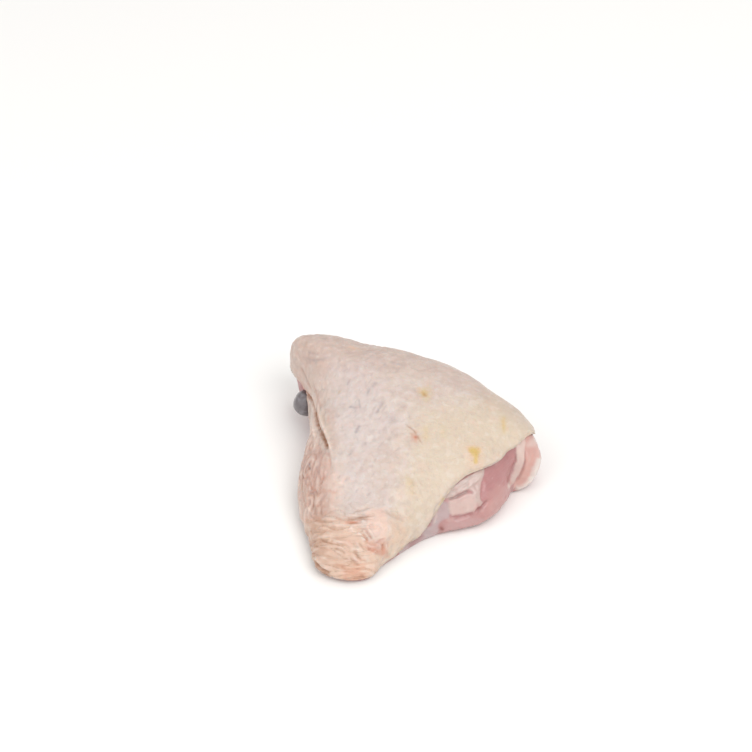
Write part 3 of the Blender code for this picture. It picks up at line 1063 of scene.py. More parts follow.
SKIN_LINES = {
    # The side fold's groove is painted brown, its own colour with painted shade in it, and its lips pale,
    # the skin's paler colour with painted highlight
    "side fold": Line(
        ((300, 381), (306.4, 393), (311.4, 401.4), (313.6, 410), (317, 423), (320.7, 433), (325.7, 444.3),
         (328.6, 451.4)),
        0.8, -1.2, Layer.BROWN, 1.0, 0.12,
    ),
    "side fold's end": Line(((327.5, 449), (329.3, 460), (329.3, 472)), 0.6, -0.4, Layer.RED, 0.3, 0.35),
    "side fold's lip": Line(
        ((316, 403), (318.4, 410), (320.7, 418), (326, 434), (330, 446), (332, 458)),
        0.7, 0.6, Layer.PALE, 0.8,
    ),
    "side fold's outer lip": Line(((313.2, 416), (314, 427), (315, 439)), 0.7, 0.6, Layer.PALE, 0.85),
    "side fold's yellow": Line(((302, 388), (307, 398), (312, 408)), 0.7, 0.3, Layer.CREAM, 0.6),
    "orange beside the fold": Line(((327, 408), (328, 418), (330, 428)), 0.6, 0.0, Layer.RED, 0.22),
    # Brown in the strip's folds is partly painted shade, and the cream and pale on its ridges and lumps
    # partly painted highlight
    "strip fold, outer": Line(
        ((305, 470), (302, 484), (303, 498), (308, 512)), 0.55, -0.5, Layer.BROWN, 0.2
    ),
    "strip ridge, outer": Line(((308, 488), (307, 500), (310, 514)), 0.9, 0.6, Layer.CREAM, 0.6),
    "strip fold, middle": Line(((311, 494), (313.3, 506), (314, 516)), 0.55, -0.6, Layer.BROWN, 0.35),
    "strip ridge, middle": Line(((317, 490), (316.5, 502), (318, 512)), 0.9, 0.5, Layer.CREAM, 0.4),
    "strip fold, inner": Line(((321, 500), (320, 509), (323, 517)), 0.55, -0.5, Layer.BROWN, 0.2),
    "strip dark": Line(((309, 462), (309.5, 467), (311, 471)), 0.5, -0.3, Layer.VEIN, 0.7),
    "strip speck 1": Line(((306, 452), (306.5, 456)), 0.5, 0.2, Layer.PALE, 0.6, 0.35),
    "strip speck 2": Line(((313, 458), (314, 462)), 0.5, 0.2, Layer.PALE, 0.6, 0.35),
    "strip speck 3": Line(((310, 474), (311, 479), (309.5, 484)), 0.45, 0.2, Layer.PALE, 0.6, 0.35),
    "strip speck 4": Line(((317, 470), (318, 474)), 0.45, -0.2, Layer.VEIN, 0.6, 0.35),
    "strip speck 5": Line(((321, 461), (322, 467)), 0.5, -0.2, Layer.RED, 0.5, 0.35),
    "strip speck 6": Line(((325, 470), (325, 476)), 0.5, 0.2, Layer.PALE, 0.5, 0.35),
    "cream by the strip 1": Line(((331, 474), (336, 475)), 0.6, 0.2, Layer.PALE, 0.5, 0.35),
    "cream by the strip 2": Line(((333, 484), (341, 483), (346, 485)), 0.6, 0.2, Layer.PALE, 0.5, 0.35),
    "cream by the strip 3": Line(((329, 503), (333, 508), (338, 510)), 0.6, 0.3, Layer.PALE, 0.45, 0.35),
    "fold to the strip": Line(((327, 489), (333, 492), (339, 491)), 0.6, -0.3, Layer.RED, 0.3),
    "hip edge": Line(((296, 370), (301, 382), (306, 392), (310, 400)), 1.4, 0.4, Layer.RED, 0.4),
    "hip fold": Line(((299, 364), (304, 375), (309, 386), (313, 397)), 0.6, -0.4, Layer.BROWN, 0.3),
    "hip fold, inner": Line(
        ((311.8, 379.6), (315, 389), (318, 400), (320.7, 410)), 0.7, -0.3, Layer.BLUSH, 0.6
    ),
    "hip ridge": Line(((307, 374), (311, 384), (315, 395)), 0.8, 0.4, Layer.CREAM, 0.35),
    "hip streak 1": Line(((306, 350), (312, 353), (320, 354)), 0.6, -0.2, Layer.VEIN, 0.3),
    "hip streak 2": Line(((304, 358), (314, 360), (326, 358), (331, 355)), 0.6, -0.2, Layer.VEIN, 0.35),
    "hip streak 3": Line(((296, 352), (303, 346), (312, 343)), 0.8, 0.3, Layer.CREAM, 0.4),
    "hip streak 4": Line(((301, 366), (306, 379), (312, 392)), 0.5, -0.2, Layer.RED, 0.3),
    # The knee crease is painted brown and red, its own colour with painted shade in it, and the pale ledges
    # beside it are partly painted highlight
    "knee crease": Line(
        ((341, 518), (348, 518.6), (355, 518.5), (364, 517), (371, 516), (378, 515)),
        0.6, -0.8, Layer.BROWN, 0.75,
    ),
    "knee crease's core": Line(
        ((344, 520), (350, 522), (354, 522.8), (358, 522), (363, 519.5)), 1.1, -0.4, Layer.RED, 0.9, 0.45
    ),
    "knee crease's dark end": Line(
        ((349, 521.5), (353.5, 523), (357, 522)), 0.5, -0.3, Layer.BROWN, 0.5, 0.4
    ),
    "above the knee crease": Line(((343, 514.8), (355, 515.2), (366, 513)), 1.0, 0.4, Layer.PALE, 0.35),
    "under the crease's end": Line(((361, 522), (365, 520.5)), 0.8, 0.4, Layer.PALE, 0.5, 0.35),
    "crease to the right": Line(
        ((383, 508), (387, 511.5), (392, 515), (398, 518), (406, 520)), 0.7, -0.4, Layer.BROWN, 0.25
    ),
    "ridge to the right": Line(((386, 509), (392, 512.5), (399, 515)), 1.0, 0.4, Layer.CREAM, 0.4),
    # The knee's folds are painted brown, their own colour with painted shade in them, and its ridges and
    # streaks pale, partly painted highlight
    "knee fold 1": Line(
        ((309, 514), (314, 519), (321, 521), (331, 521.5), (341, 520.5)), 0.55, -0.5, Layer.BROWN, 0.24
    ),
    "knee fold 2": Line(((329, 526), (337, 528.5), (346, 527.5)), 1.0, -0.5, Layer.BROWN, 0.24),
    "knee ridge 2": Line(((327, 523), (336, 524.5), (345, 524)), 0.9, 0.4, Layer.PALE, 0.3),
    "knee fold 3": Line(((311, 532), (319, 531.5), (326, 533)), 0.5, -0.4, Layer.BROWN, 0.15),
    "orange lump": Line(((322, 536.5), (327, 538), (331, 540)), 0.8, 0.5, Layer.CREAM, 0.5, 0.1),
    "knee fold 4": Line(
        ((317, 537), (323, 540.5), (331, 543.2), (339, 544.3), (346, 545), (350, 549), (353, 553)),
        0.45, -0.6, Layer.BROWN, 0.5,
    ),
    "knee ridge 4": Line(
        ((332, 540.5), (339, 541.8), (346, 542.2), (351, 546)), 0.6, 0.5, Layer.PALE, 0.65
    ),
    "knee fold 5": Line(
        ((333, 548.6), (338, 549), (343, 551.5), (346, 555)), 0.45, -0.5, Layer.BROWN, 0.42
    ),
    "knee ridge 5": Line(((332, 551.6), (338, 552), (342, 554.5)), 0.45, 0.35, Layer.PALE, 0.6, 0.35),
    "knee ridge 5, upper": Line(
        ((336, 546.6), (342, 548), (346.5, 551)), 0.45, 0.4, Layer.PALE, 0.5, 0.35
    ),
    "knee fold 6": Line(((313, 545), (320, 547.5), (329, 549)), 0.5, -0.35, Layer.BROWN, 0.15),
    "knee fold 7": Line(((318, 555), (327, 556), (336, 559), (345, 562)), 0.5, -0.3, Layer.BROWN, 0.12),
    "knee fold 8": Line(((353, 550), (357, 555.5), (361.5, 559.5)), 0.45, -0.7, Layer.BROWN, 0.5),
    "knee ridge 8": Line(
        ((351, 553), (354.5, 558), (359, 561.8), (362, 561)), 0.45, 0.6, Layer.PALE, 0.9, 0.35
    ),
    "knee fold 9": Line(
        ((348.5, 554.5), (351.5, 559.5), (356, 563.5), (361, 564.5)), 0.45, -0.7, Layer.BROWN, 0.5
    ),
    "knee ridge 9": Line(((355, 546.5), (358, 550.5), (361, 555)), 0.45, 0.5, Layer.PALE, 0.7, 0.35),
    "knee fold 10": Line(((352, 541), (355, 545.5), (359.5, 549)), 0.45, -0.5, Layer.BROWN, 0.28),
    "knee fold 13": Line(((340, 556), (345, 558.5), (349, 557)), 0.45, -0.5, Layer.BROWN, 0.4),
    "knee fold 14": Line(((358, 541), (361.5, 546), (366, 551)), 0.45, -0.5, Layer.BROWN, 0.35),
    "knee ridge 14": Line(((355, 541.5), (358.5, 546.5), (363, 552)), 0.45, 0.4, Layer.PALE, 0.5, 0.3),
    "knee fold 11": Line(((348.5, 561.5), (350.5, 563), (352, 561)), 0.5, -0.55, Layer.BROWN, 0.5),
    "knee ridge 11": Line(((344, 559), (347, 563), (350, 565.5)), 0.5, 0.4, Layer.PALE, 0.5, 0.35),
    "knee fold 12": Line(((330, 566), (341, 568), (352, 571)), 0.6, -0.35, Layer.BROWN, 0.16),
    "bright streak": Line(((363, 554), (366, 559), (368.5, 564)), 0.8, 0.4, Layer.PALE, 0.5, 0.35),
    # Painted shadow in the tuck under the rolled lip, and a painted highlight on the lip
    "tucked edge": Line(
        ((314, 560), (318, 565), (322, 568.5), (327, 571), (331, 574)), 0.5, -0.9, Layer.BROWN, 0.5, 0.2
    ),
    "tucked edge's lip": Line(
        ((315, 554), (318.5, 561), (323, 565.5), (329, 569), (335, 572.5)), 0.7, 0.7, Layer.PALE, 0.5
    ),
    # The pale lumps and ridges are partly painted highlight, and the red grooves beside them partly painted
    # shade
    "pale lump": Line(((349.5, 525), (351.5, 528.5), (353, 532)), 0.8, 0.7, Layer.PALE, 0.8, 0.35),
    "pale lump, upper": Line(((351, 525), (357, 525.5)), 0.6, 0.4, Layer.PALE, 0.6, 0.35),
    "long pale ridge": Line(((357.5, 532), (361, 536.5), (365, 541.5)), 0.6, 0.8, Layer.PALE, 1.0, 0.1),
    "beside the pale ridge": Line(
        ((361.5, 532), (365, 536.5), (368.5, 541)), 0.45, -0.8, Layer.RED, 0.6, 0.3
    ),
    "short pale ridge": Line(
        ((364.5, 533), (367.5, 537), (370.5, 541.5)), 0.4, 0.6, Layer.PALE, 0.75, 0.35
    ),
    "groove by the pink": Line(
        ((363.5, 526.5), (366.5, 531.5), (370.5, 536.5), (374, 541)), 0.45, -0.8, Layer.RED, 0.6, 0.3
    ),
    "lip of the pink": Line(
        ((367.5, 521), (367.5, 527), (370.5, 532), (375, 537.5)), 0.5, 0.5, Layer.PALE, 0.6, 0.35
    ),
    # The crumple's folds are painted red, partly painted shadow under the pink patch, and its ridges pale,
    # partly painted highlight
    "crumple's upper fold": Line(
        ((373, 541), (377, 542), (380, 540.5), (386, 538.5)), 0.45, -0.8, Layer.RED, 0.65, 0.3
    ),
    "crumple's upright ridge": Line(
        ((385, 541), (386, 546), (385.5, 552)), 0.5, 0.6, Layer.PALE, 0.5, 0.35
    ),
    "crumple's upright fold": Line(
        ((382.5, 543), (383, 548), (382, 552)), 0.4, -0.6, Layer.RED, 0.65, 0.3
    ),
    "crumple's lower fold": Line(
        ((361, 543), (366, 547), (372, 550.5), (379, 554)), 0.5, -0.7, Layer.RED, 0.65, 0.3
    ),
    "crumple's pale fold 1": Line(
        ((365.5, 543.5), (370.5, 546.8), (375.5, 546.6)), 0.4, 0.6, Layer.PALE, 0.7, 0.35
    ),
    "crumple's pale fold 2": Line(
        ((376, 543.6), (379, 545.5), (380.5, 548.5)), 0.4, 0.5, Layer.PALE, 0.55, 0.35
    ),
    "crumple's dark fold": Line(((371, 549), (376, 550), (380, 552.5)), 0.4, -0.6, Layer.RED, 0.65, 0.3),
    "long vein": Line(
        ((404, 423), (410, 427.5), (414.5, 431.5), (419, 438.5), (423.5, 446)),
        0.38, -0.15, Layer.BROWN, 0.5,
    ),
    # Grey along the cut edge: the thin edge's own grey and a painted shadow along it
    "hem's grey rim": Line(
        ((537, 435), (523, 445), (511, 453), (497, 462), (484, 468.5), (471, 476), (459, 483), (449, 490),
         (442, 500), (435.5, 507), (433, 520), (426, 533), (414, 540)),
        0.45, 0.0, Layer.VEIN, 0.4, 0.05,
    ),
}

SKIN_STAINS = {
    "red-brown spot": Line(((415.6, 437),), 0.7, 0.1, Layer.RED, 1.0),
    "its dark heart": Line(((415.8, 437.2),), 0.42, 0.0, Layer.BROWN, 0.8),
    "small stain": Line(((424, 393), (425, 395)), 0.75, 0.0, Layer.BROWN, 0.35, 0.0),
    "small stain's yellow": Line(((424, 393),), 1.4, 0.0, Layer.STAIN, 0.6),
    "yellow streak 1": Line(((425, 427), (426, 437)), 1.3, 0.0, Layer.STAIN, 0.2, 0.0),
    "yellow streak 2": Line(((503, 419), (504, 431)), 1.3, 0.0, Layer.STAIN, 0.35, 0.0),
    "yellow streak 3": Line(((443, 427), (443.5, 434)), 1.2, 0.0, Layer.STAIN, 0.2, 0.0),
    "yellow streak 4": Line(((409, 480), (412, 492)), 1.6, 0.0, Layer.STAIN, 0.24, 0.0),
    "yellow by the hem": Line(((441, 504), (444, 499)), 0.8, 0.0, Layer.STAIN, 0.4, 0.0),
    "orange by the back": Line(((354, 347.5),), 2.2, 0.0, Layer.PEACH, 0.6),
    "sore on the strip": Line(((322.5, 478),), 0.7, -0.3, Layer.RED, 0.9),
    "mark on the strip": Line(((323, 481), (320, 484)), 0.5, -0.2, Layer.BROWN, 0.6),
    "mark by the side": Line(((309, 466), (309.5, 470)), 0.5, -0.2, Layer.BROWN, 0.5),
    "red streak": Line(((311, 484), (312.5, 489)), 0.8, 0.0, Layer.RED, 0.4),
    "pale dash 1": Line(((441, 437), (442, 447)), 0.45, 0.1, Layer.LILAC, 0.6),
    "pale dash 2": Line(((447, 442), (448, 450)), 0.45, 0.1, Layer.LILAC, 0.6),
    "pale dash 3": Line(((463, 432), (464, 444)), 0.45, 0.1, Layer.LILAC, 0.7),
    "pale dash 4": Line(((470, 436), (471, 443)), 0.4, 0.1, Layer.LILAC, 0.5),
}

SKIN_VEINS = {
    "hip vein": Line(((351.5, 378.5), (349, 382), (347, 386)), 0.52, 0.0, Layer.VEIN, 0.43),
    "smear": Line(((376, 381), (373.5, 385.5), (370.5, 388)), 0.85, 0.0, Layer.VEIN, 0.43),
    "below the smear": Line(((371, 387), (368, 392), (367.4, 398)), 0.52, 0.0, Layer.VEIN, 0.36),
    "upright vein": Line(((358.5, 398), (359.5, 404), (360, 411)), 0.45, 0.0, Layer.VEIN, 0.43),
    "level vein": Line(((349, 406.5), (354, 407.2), (359, 407.4)), 0.45, 0.0, Layer.VEIN, 0.4),
    "dark end": Line(((350, 406.8),), 0.59, 0.0, Layer.VEIN, 0.54),
    "main vein": Line(
        ((386, 398.5), (382, 404), (379, 408), (375, 415.5)), 0.65, -0.12, Layer.VEIN, 0.58
    ),
    "beside the main vein": Line(((387, 403.5), (384, 408.5), (381, 413.5)), 0.52, 0.0, Layer.VEIN, 0.4),
    "left of the main vein": Line(((377.5, 403), (373.5, 409), (371, 416)), 0.45, 0.0, Layer.VEIN, 0.25),
    "pale streak": Line(((384.5, 403), (381, 408.5), (378, 414)), 0.39, 0.08, Layer.CREAM, 0.59),
    "lower vein": Line(((359.8, 424), (357.5, 429), (354.8, 434.5)), 0.65, -0.12, Layer.VEIN, 0.61),
    "short vein": Line(((365.3, 441), (365, 446)), 0.59, 0.0, Layer.VEIN, 0.43),
    "two specks": Line(((379, 430), (380, 434)), 0.52, 0.0, Layer.VEIN, 0.32),
    "above the long vein": Line(((408, 410), (409, 415), (411, 420)), 0.45, 0.0, Layer.VEIN, 0.25),
    "vein near the back": Line(((391, 361), (397, 364), (402, 363)), 0.78, 0.0, Layer.VEIN, 0.32),
    "vein near the hip": Line(((352, 448), (350, 455), (352, 460)), 0.78, 0.0, Layer.VEIN, 0.25),
    "green speck": Line(((339.3, 391.5),), 0.78, 0.0, Layer.STAIN, 0.3),
}

SKIN_TINTS = {
    Area.KNEE: (
        # Brown at the bottom of the knee's pleats and red in the dips of its threads are partly painted
        # shade, and pale on the threads' crests painted highlight
        Tint(Grain.KNEE_PLEAT, Layer.BROWN, 0.07, 0.0, 0.32),
        Tint(Grain.KNEE_THREAD, Layer.RED, -0.15, -0.5, 0.25),
        Tint(Grain.KNEE_THREAD, Layer.PALE, 0.15, 0.5, 0.45),
    ),
    Area.SIDE: (
        # Brown at the bottom of the side's pleats is partly painted shade and pale on their crests painted
        # highlight; the specks are pale on their bumps and grey in their hollows, painted highlight and
        # shade
        Tint(Grain.SIDE_PLEAT, Layer.BROWN, 0.08, 0.0, 0.3),
        Tint(Grain.SIDE_PLEAT, Layer.PALE, 0.22, 0.45, 0.45),
        Tint(Grain.SIDE_SPECK, Layer.PALE, 0.2, 0.5, 0.3),
        Tint(Grain.SIDE_SPECK, Layer.VEIN, -0.25, -0.5, 0.3),
        Tint(Grain.SIDE_SORE, Layer.RED, 0.15, 0.6, 0.3),
    ),
    Area.PLAIN: (
        # Lilac on the tops of the bubbles is painted highlight
        Tint(Grain.BUBBLE, Layer.LILAC, 0.05, 0.4, 0.36),
        Tint(Grain.PINK_CLOUD, Layer.PINK, -0.3, -0.6, 0.2),
    ),
    Area.LEFT: (
        # Grey in the hollows of the bubbles is painted shade
        Tint(Grain.BUBBLE, Layer.VEIN, -0.25, -0.5, 0.16),
        Tint(Grain.VEIN_STREAK, Layer.VEIN, 0.5, 0.7, 0.25),
    ),
}


@dataclass(frozen=True)
class SkinAreas:
    """Where the areas of the skin lie. A span says where one starts and where it is full.

    Attributes:
        knee_y: span of the knee's area along Y.
        knee_x: its span along X.
        side_x: span of the left side's area along X.
        hip_y: span along Y in which that area dies away towards the hip.
        hip_calm: how much fainter it is there.
        right_x: span along X in which the plain skin grows calmer towards the right.
        right_calm: how much calmer it is there.
    """

    knee_y: Span = (-30.0, -38.0)
    knee_x: Span = (-12.0, -20.0)
    side_x: Span = (-32.0, -40.0)
    hip_y: Span = (18.0, 34.0)
    hip_calm: float = 0.8
    right_x: Span = (-12.0, 15.0)
    right_calm: float = 0.8

    def shares(self, points: np.ndarray) -> dict[Area, np.ndarray]:
        """How much of each vertex is in each area, from 0 to 1."""
        across, along = points[:, 0], points[:, 1]
        knee = ramp(along, *self.knee_y) * ramp(across, *self.knee_x)
        side = ramp(across, *self.side_x) * (1 - knee) * (1 - self.hip_calm * ramp(along, *self.hip_y))
        plain = (1 - knee) * (1 - side)
        left = plain * (1 - self.right_calm * ramp(across, *self.right_x))
        return {Area.KNEE: knee, Area.SIDE: side, Area.PLAIN: plain, Area.LEFT: left}


@dataclass(frozen=True)
class CutEdge:
    """How the skin ends where it is cut.

    Attributes:
        reach: how far from the cut the skin thins.
        press: how much thinner it is there.
        cream: how much of the cream colour shows there.
        stand_reach: how far from the cut it may stand off.
        stand: how far it stands off at most.
        stand_level: how far under 0 the pattern may be where it still stands off.
    """

    reach: float = 1.3
    press: float = 0.55
    cream: float = 0.3
    stand_reach: float = 2.6
    stand: float = 0.9
    stand_level: float = 0.25


@dataclass
class SkinSheet:
    """The sheet of skin, creased and stained as it lies.

    Attributes:
        view: the photograph's camera.
        voxel: spacing of its vertices.
        passes: how often the fine copy is smoothed.
        hidden_share: the share of the faces kept on its inner side.
        hidden_rim: how far from the cut edge the inner side starts to count as hidden.
        inner_facing: an inner vertex's normal points out of the flesh by less than this.
        edge_facing: an edge vertex's normal points out of the flesh or into it by less than this.
        worked_facing: span of that measure in which the surface starts to be worked.
        areas: where its areas lie.
        swells: the slow swells all over, each with its height.
        settle: how far the skin sinks all over, so that what is lifted stays inside the model's box.
        knee_pleats: the folds of the knee end.
        knee_stray: how far they stray along each axis.
        side_pleats: the folds of the left side.
        side_stray: how far they stray along each axis.
        bubble: height of the bubbles of the plain skin.
        left_bubble: what is added to it on the left.
        pore: height of the pores between them.
        streak_run: which way the small veins run, as shares of X and Y.
        edge: how the skin ends.
        seed: picks the random patterns.
    """

    view: PhotoView
    voxel: float = 0.475
    passes: int = 8
    hidden_share: float = 0.08
    hidden_rim: float = 3.0
    inner_facing: float = -0.5
    edge_facing: float = 0.35
    worked_facing: Span = (0.0, 0.5)
    areas: SkinAreas = SkinAreas()
    swells: tuple[tuple[Grain, float], ...] = ((Grain.SKIN_SWELL, 0.45), (Grain.SKIN_RIPPLE, 0.22))
    settle: float = 0.12
    knee_pleats: Pleats = Pleats(0.22, 0.15, 2.2, 0.25)
    knee_stray: Size = (0.0, 3.0, 0.0)
    side_pleats: Pleats = Pleats(0.24, 0.16, 1.5, 0.22)
    side_stray: Size = (2.0, 0.0, 0.0)
    bubble: float = 0.1
    left_bubble: float = 0.28
    pore: float = 0.08
    streak_run: tuple[float, float] = (0.6, 0.8)
    edge: CutEdge = CutEdge()
    seed: float = 5.3
    surface: Surface = field(init=False)
    outward: np.ndarray = field(init=False)
    facing: np.ndarray = field(init=False)
    rim: np.ndarray = field(init=False)

    def build(self, frame: dict) -> bpy.types.Object:
        """Makes the piece.


        Returns:
            The finished object.
        """
        piece = fine_copy(frame["nodes"]["skin"], "skin_sheet", self.voxel, self.passes)
        flesh = surface_tree(frame["nodes"]["flesh"])
        self.surface = Surface(piece, self.view)
        self.measure(flesh)
        inner = (self.facing < self.inner_facing) & (self.rim > self.hidden_rim)
        thin_out(piece, inner, self.hidden_share)
        self.surface = Surface(piece, self.view)
        self.measure(flesh)
        self.surface.reach = ramp(self.facing, *self.worked_facing)
        self.fold()
        self.wrinkle()
        self.crease()
        self.trim_edge()
        self.surface.store_layers()
        piece.data.shade_smooth()
        piece.data.materials.append(SkinFinish().material())
        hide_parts("skin")
        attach(piece, "root")
        return piece

    def measure(self, flesh: BVHTree) -> None:
        """Finds which way is out of the flesh at each vertex, and how far the cut edge is."""
        points = self.surface.points
        nearest = [tuple(flesh.find_nearest(place)[0]) for place in (points * MM).tolist()]
        away = points - np.array(nearest) / MM
        self.outward = away / np.maximum(np.linalg.norm(away, axis=1, keepdims=True), LEAST_LENGTH)
        self.facing = (self.outward * self.surface.normals).sum(axis=1)
        tree = near_tree(points[np.abs(self.facing) < self.edge_facing])
        self.rim = np.array([tree.find(place)[2] for place in points.tolist()])

    def fold(self) -> None:
        """Lifts the slow swells that the skin has all over."""
        swell = sum(grain.on(self.surface.points, self.seed) * height for grain, height in self.swells)
        self.surface.lift(swell - self.settle)
        self.surface.write()

    def strayed(self, grain: Grain, reach: Size) -> np.ndarray:
        """Places as the camera sees them, each moved by a pattern along a direction."""
        points = self.surface.points
        return self.view.turned(points) + grain.on(points, self.seed)[:, None] * np.array(reach)

    def wrinkle(self) -> None:
        """Presses the fine folds of the knee end and the left side, and the small ones elsewhere, and tints
        them, with painted shade in their hollows and painted highlights on their crests.
        """
        points = self.surface.points
        areas = self.areas.shares(points)
        knee_run = self.strayed(Grain.KNEE_STRAY, self.knee_stray)
        side_run = self.strayed(Grain.SIDE_STRAY, self.side_stray)
        values = {
            Grain.KNEE_PLEAT: np.abs(Grain.KNEE_PLEAT.on(knee_run, self.seed)),
            Grain.KNEE_THREAD: Grain.KNEE_THREAD.on(knee_run, self.seed),
            Grain.SIDE_PLEAT: np.abs(Grain.SIDE_PLEAT.on(side_run, self.seed)),
            Grain.SIDE_SPECK: Grain.SIDE_SPECK.on(self.view.turned(points), self.seed),
            Grain.BUBBLE: Grain.BUBBLE.on(points, self.seed),
        }
        knee = self.knee_pleats.height(values[Grain.KNEE_PLEAT], values[Grain.KNEE_THREAD])
        side = self.side_pleats.height(values[Grain.SIDE_PLEAT], values[Grain.SIDE_SPECK])
        plain = values[Grain.BUBBLE] * self.bubble + Grain.PORE.on(points, self.seed) * self.pore
        self.surface.lift(
            areas[Area.KNEE] * knee
            + areas[Area.SIDE] * side
            + areas[Area.PLAIN] * plain
            + areas[Area.LEFT] * values[Grain.BUBBLE] * self.left_bubble
        )
        values[Grain.SIDE_SORE] = Grain.SIDE_SORE.on(points, self.seed)
        values[Grain.PINK_CLOUD] = Grain.PINK_CLOUD.on(points, self.seed)
        values[Grain.VEIN_STREAK] = Grain.VEIN_STREAK.on(self.streaked(points), self.seed)
        for area, tints in SKIN_TINTS.items():
            for tint in tints:
                self.surface.tint(areas[area], values[tint.grain], tint)
        self.surface.write()

    def streaked(self, points: np.ndarray) -> np.ndarray:
        """Places counted along the run of the small veins, across it and up."""
        along, across = self.streak_run
        return points @ np.array([(along, -across, 0.0), (across, along, 0.0), (0.0, 0.0, 1.0)])

    def crease(self) -> None:
        """Draws the photograph's own patches, veins, stains and creases, with painted shade on the back, in
        the creases and under the tucked lip, and painted highlights on the ridges.
        """
        self.surface.lay(SKIN_PATCHES)
        for lines in (SKIN_VEINS, SKIN_STAINS, SKIN_LINES):
            self.surface.draw(lines)
        self.surface.write()

    def trim_edge(self) -> None:
        """Thins the skin towards its cut edge, and lets that edge stand off in places."""
        surface = self.surface
        near = np.exp(-((self.rim / self.edge.reach) ** 2))
        surface.lift(-near * self.edge.press)
        wave = Grain.EDGE_WAVE.on(surface.points, self.seed) + self.edge.stand_level
        far = np.exp(-((self.rim / self.edge.stand_reach) ** 2))
        surface.points += self.outward * (far * np.clip(wave, 0.0, 1.0) * self.edge.stand)[:, None]
        surface.paint(Layer.CREAM, near * self.edge.cream)
        surface.write()


MEAT_PATCHES = {
    "strip": Patch(
        ((436, 525), (446, 519), (460, 517), (476, 513), (487, 504), (500, 498), (508, 498), (498, 513),
         (476, 529), (440, 534)),
        Layer.BLUSH, 0.42, 0.8, 0.3,
    ),
    "lower muscle": Patch(
        ((484, 505), (496, 484), (510, 486), (504, 500), (494, 512)), Layer.BLUSH, 0.5, 1.8
    ),
    "flap": Patch(
        ((517, 450), (524, 438), (535, 429), (548, 444), (543, 466), (538, 480), (530, 493), (516, 493),
         (513, 486), (519, 474), (523.5, 462)),
        Layer.PINK, 0.95, 0.6,
    ),
    "top of the flap": Patch(((526, 446), (534, 436), (540, 440), (534, 447)), Layer.LILAC, 0.4, 1.0),
    "fat band": Patch(
        ((515.5, 440), (525, 437), (524.5, 460), (520, 472), (514, 482), (508.5, 488.5), (507, 485.5),
         (512, 473.5), (516.3, 460)),
        Layer.PALE, 0.78, 0.45, 0.35,
    ),
    "flap's cream edge": Patch(
        ((543, 456), (538, 472), (532.5, 485), (526, 491), (515.5, 489), (516.5, 486), (523, 485),
         (528, 479), (532, 470), (537, 458)),
        Layer.LILAC, 0.92, 0.8, 0.3,
    ),
    "fat under the hem": Patch(
        ((444, 499), (450, 488), (462, 480), (474, 473), (484, 467), (484, 474), (476, 483), (468, 489.5),
         (458, 494), (450, 498.5)),
        Layer.CREAM, 0.9, 0.5, 0.4,
    ),
    "upright fold": Patch(
        ((468, 480), (483, 470), (482, 480), (480, 490), (479.5, 498), (483, 503), (480, 507), (475, 501),
         (472, 492), (468, 490)),
        Layer.CREAM, 0.8, 0.5, 0.4,
    ),
    "film": Patch(
        ((449, 501), (459, 497), (468, 493), (474, 495), (478, 503), (476, 510), (464, 514), (452, 516),
         (448, 509)),
        Layer.PALE, 0.68, 0.8, 0.4,
    ),
    "mauve corner": Patch(
        ((433, 508), (441, 501), (449, 502), (451, 510), (449, 517), (440, 522), (431, 524)),
        Layer.MAUVE, 0.8, 0.8,
    ),
    "grey of the strip": Patch(
        ((442, 524), (460, 519), (478, 516), (484, 520), (470, 528), (442, 532)), Layer.MAUVE, 0.3, 2.0
    ),
    "fringe": Patch(
        ((398, 552), (424, 530), (438, 520), (440, 531), (430, 542), (404, 558)), Layer.MAUVE, 0.9, 0.8
    ),
    "dark of the fringe": Patch(
        ((408, 545), (413, 537), (421, 532), (424, 536), (420, 541), (410, 548)), Layer.DEEP, 0.5, 1.0
    ),
}

MEAT_LINES = {
    # Deep pink along the meat's grooves is partly painted shade
    "groove beside the fat": Line(
        ((525.5, 446), (525.2, 461), (521, 473), (514.7, 484)), 0.5, -0.5, Layer.DEEP, 0.45, 0.2
    ),
    "muscle's edge": Line(
        ((514.8, 451), (515.2, 460), (511, 472), (506, 484)), 0.4, -0.35, Layer.DEEP, 0.4, 0.15
    ),
    "flap's fold": Line(((531, 450), (532, 460), (529, 470)), 0.8, -0.35, Layer.BLUSH, 0.15),
    # Painted shadow: grey in the crease under the film's edge
    "film's crease": Line(
        ((447, 499.5), (453, 498), (459, 495.5), (465, 492.8), (470, 490.5)),
        0.5, -0.7, Layer.VEIN, 0.95, 0.15,
    ),
    "film's lower edge": Line(
        ((448, 518), (458, 516.5), (468, 514.5), (476, 511)), 0.45, -0.4, Layer.DEEP, 0.35
    ),
    "fat's fold 1": Line(((452, 493), (462, 487), (472, 480), (480, 473)), 0.45, -0.4, Layer.BLUSH, 0.5),
    "fat's fold 2": Line(((474, 484), (477, 492), (477.5, 500)), 0.5, -0.4, Layer.BLUSH, 0.6),
    # Deep pink along these grooves is partly painted shade
    "over the strip": Line(
        ((474, 513.5), (480, 508.5), (485, 503.5), (489, 499)), 0.8, -0.8, Layer.DEEP, 0.7
    ),
    "crease over the strip": Line(((452, 520), (463, 517.5), (474, 514)), 0.6, -0.5, Layer.DEEP, 0.55),
    "red spot": Line(((440, 527.3), (442.4, 529)), 0.6, 0.0, Layer.BROWN, 0.85, 0.0),
    "red spot's tail": Line(((441, 528), (439.4, 530)), 0.4, 0.0, Layer.BROWN, 0.6, 0.0),
    "red halo": Line(((441, 527.5),), 1.6, 0.0, Layer.DEEP, 0.4),
    "pale thread on the strip": Line(
        ((462, 526), (474, 524), (486, 519), (496, 511)), 0.5, 0.2, Layer.PALE, 0.25
    ),
    "pale thread by the corner": Line(
        ((438, 505), (436, 511), (435.5, 518), (433, 525)), 0.6, 0.25, Layer.PALE, 0.5
    ),
}

MEAT_TINTS = (
    Tint(Grain.MEAT_DARK, Layer.DEEP, 0.2, 0.7, 0.15),
    Tint(Grain.MEAT_PALE, Layer.PALE, 0.3, 0.6, 0.2),
)


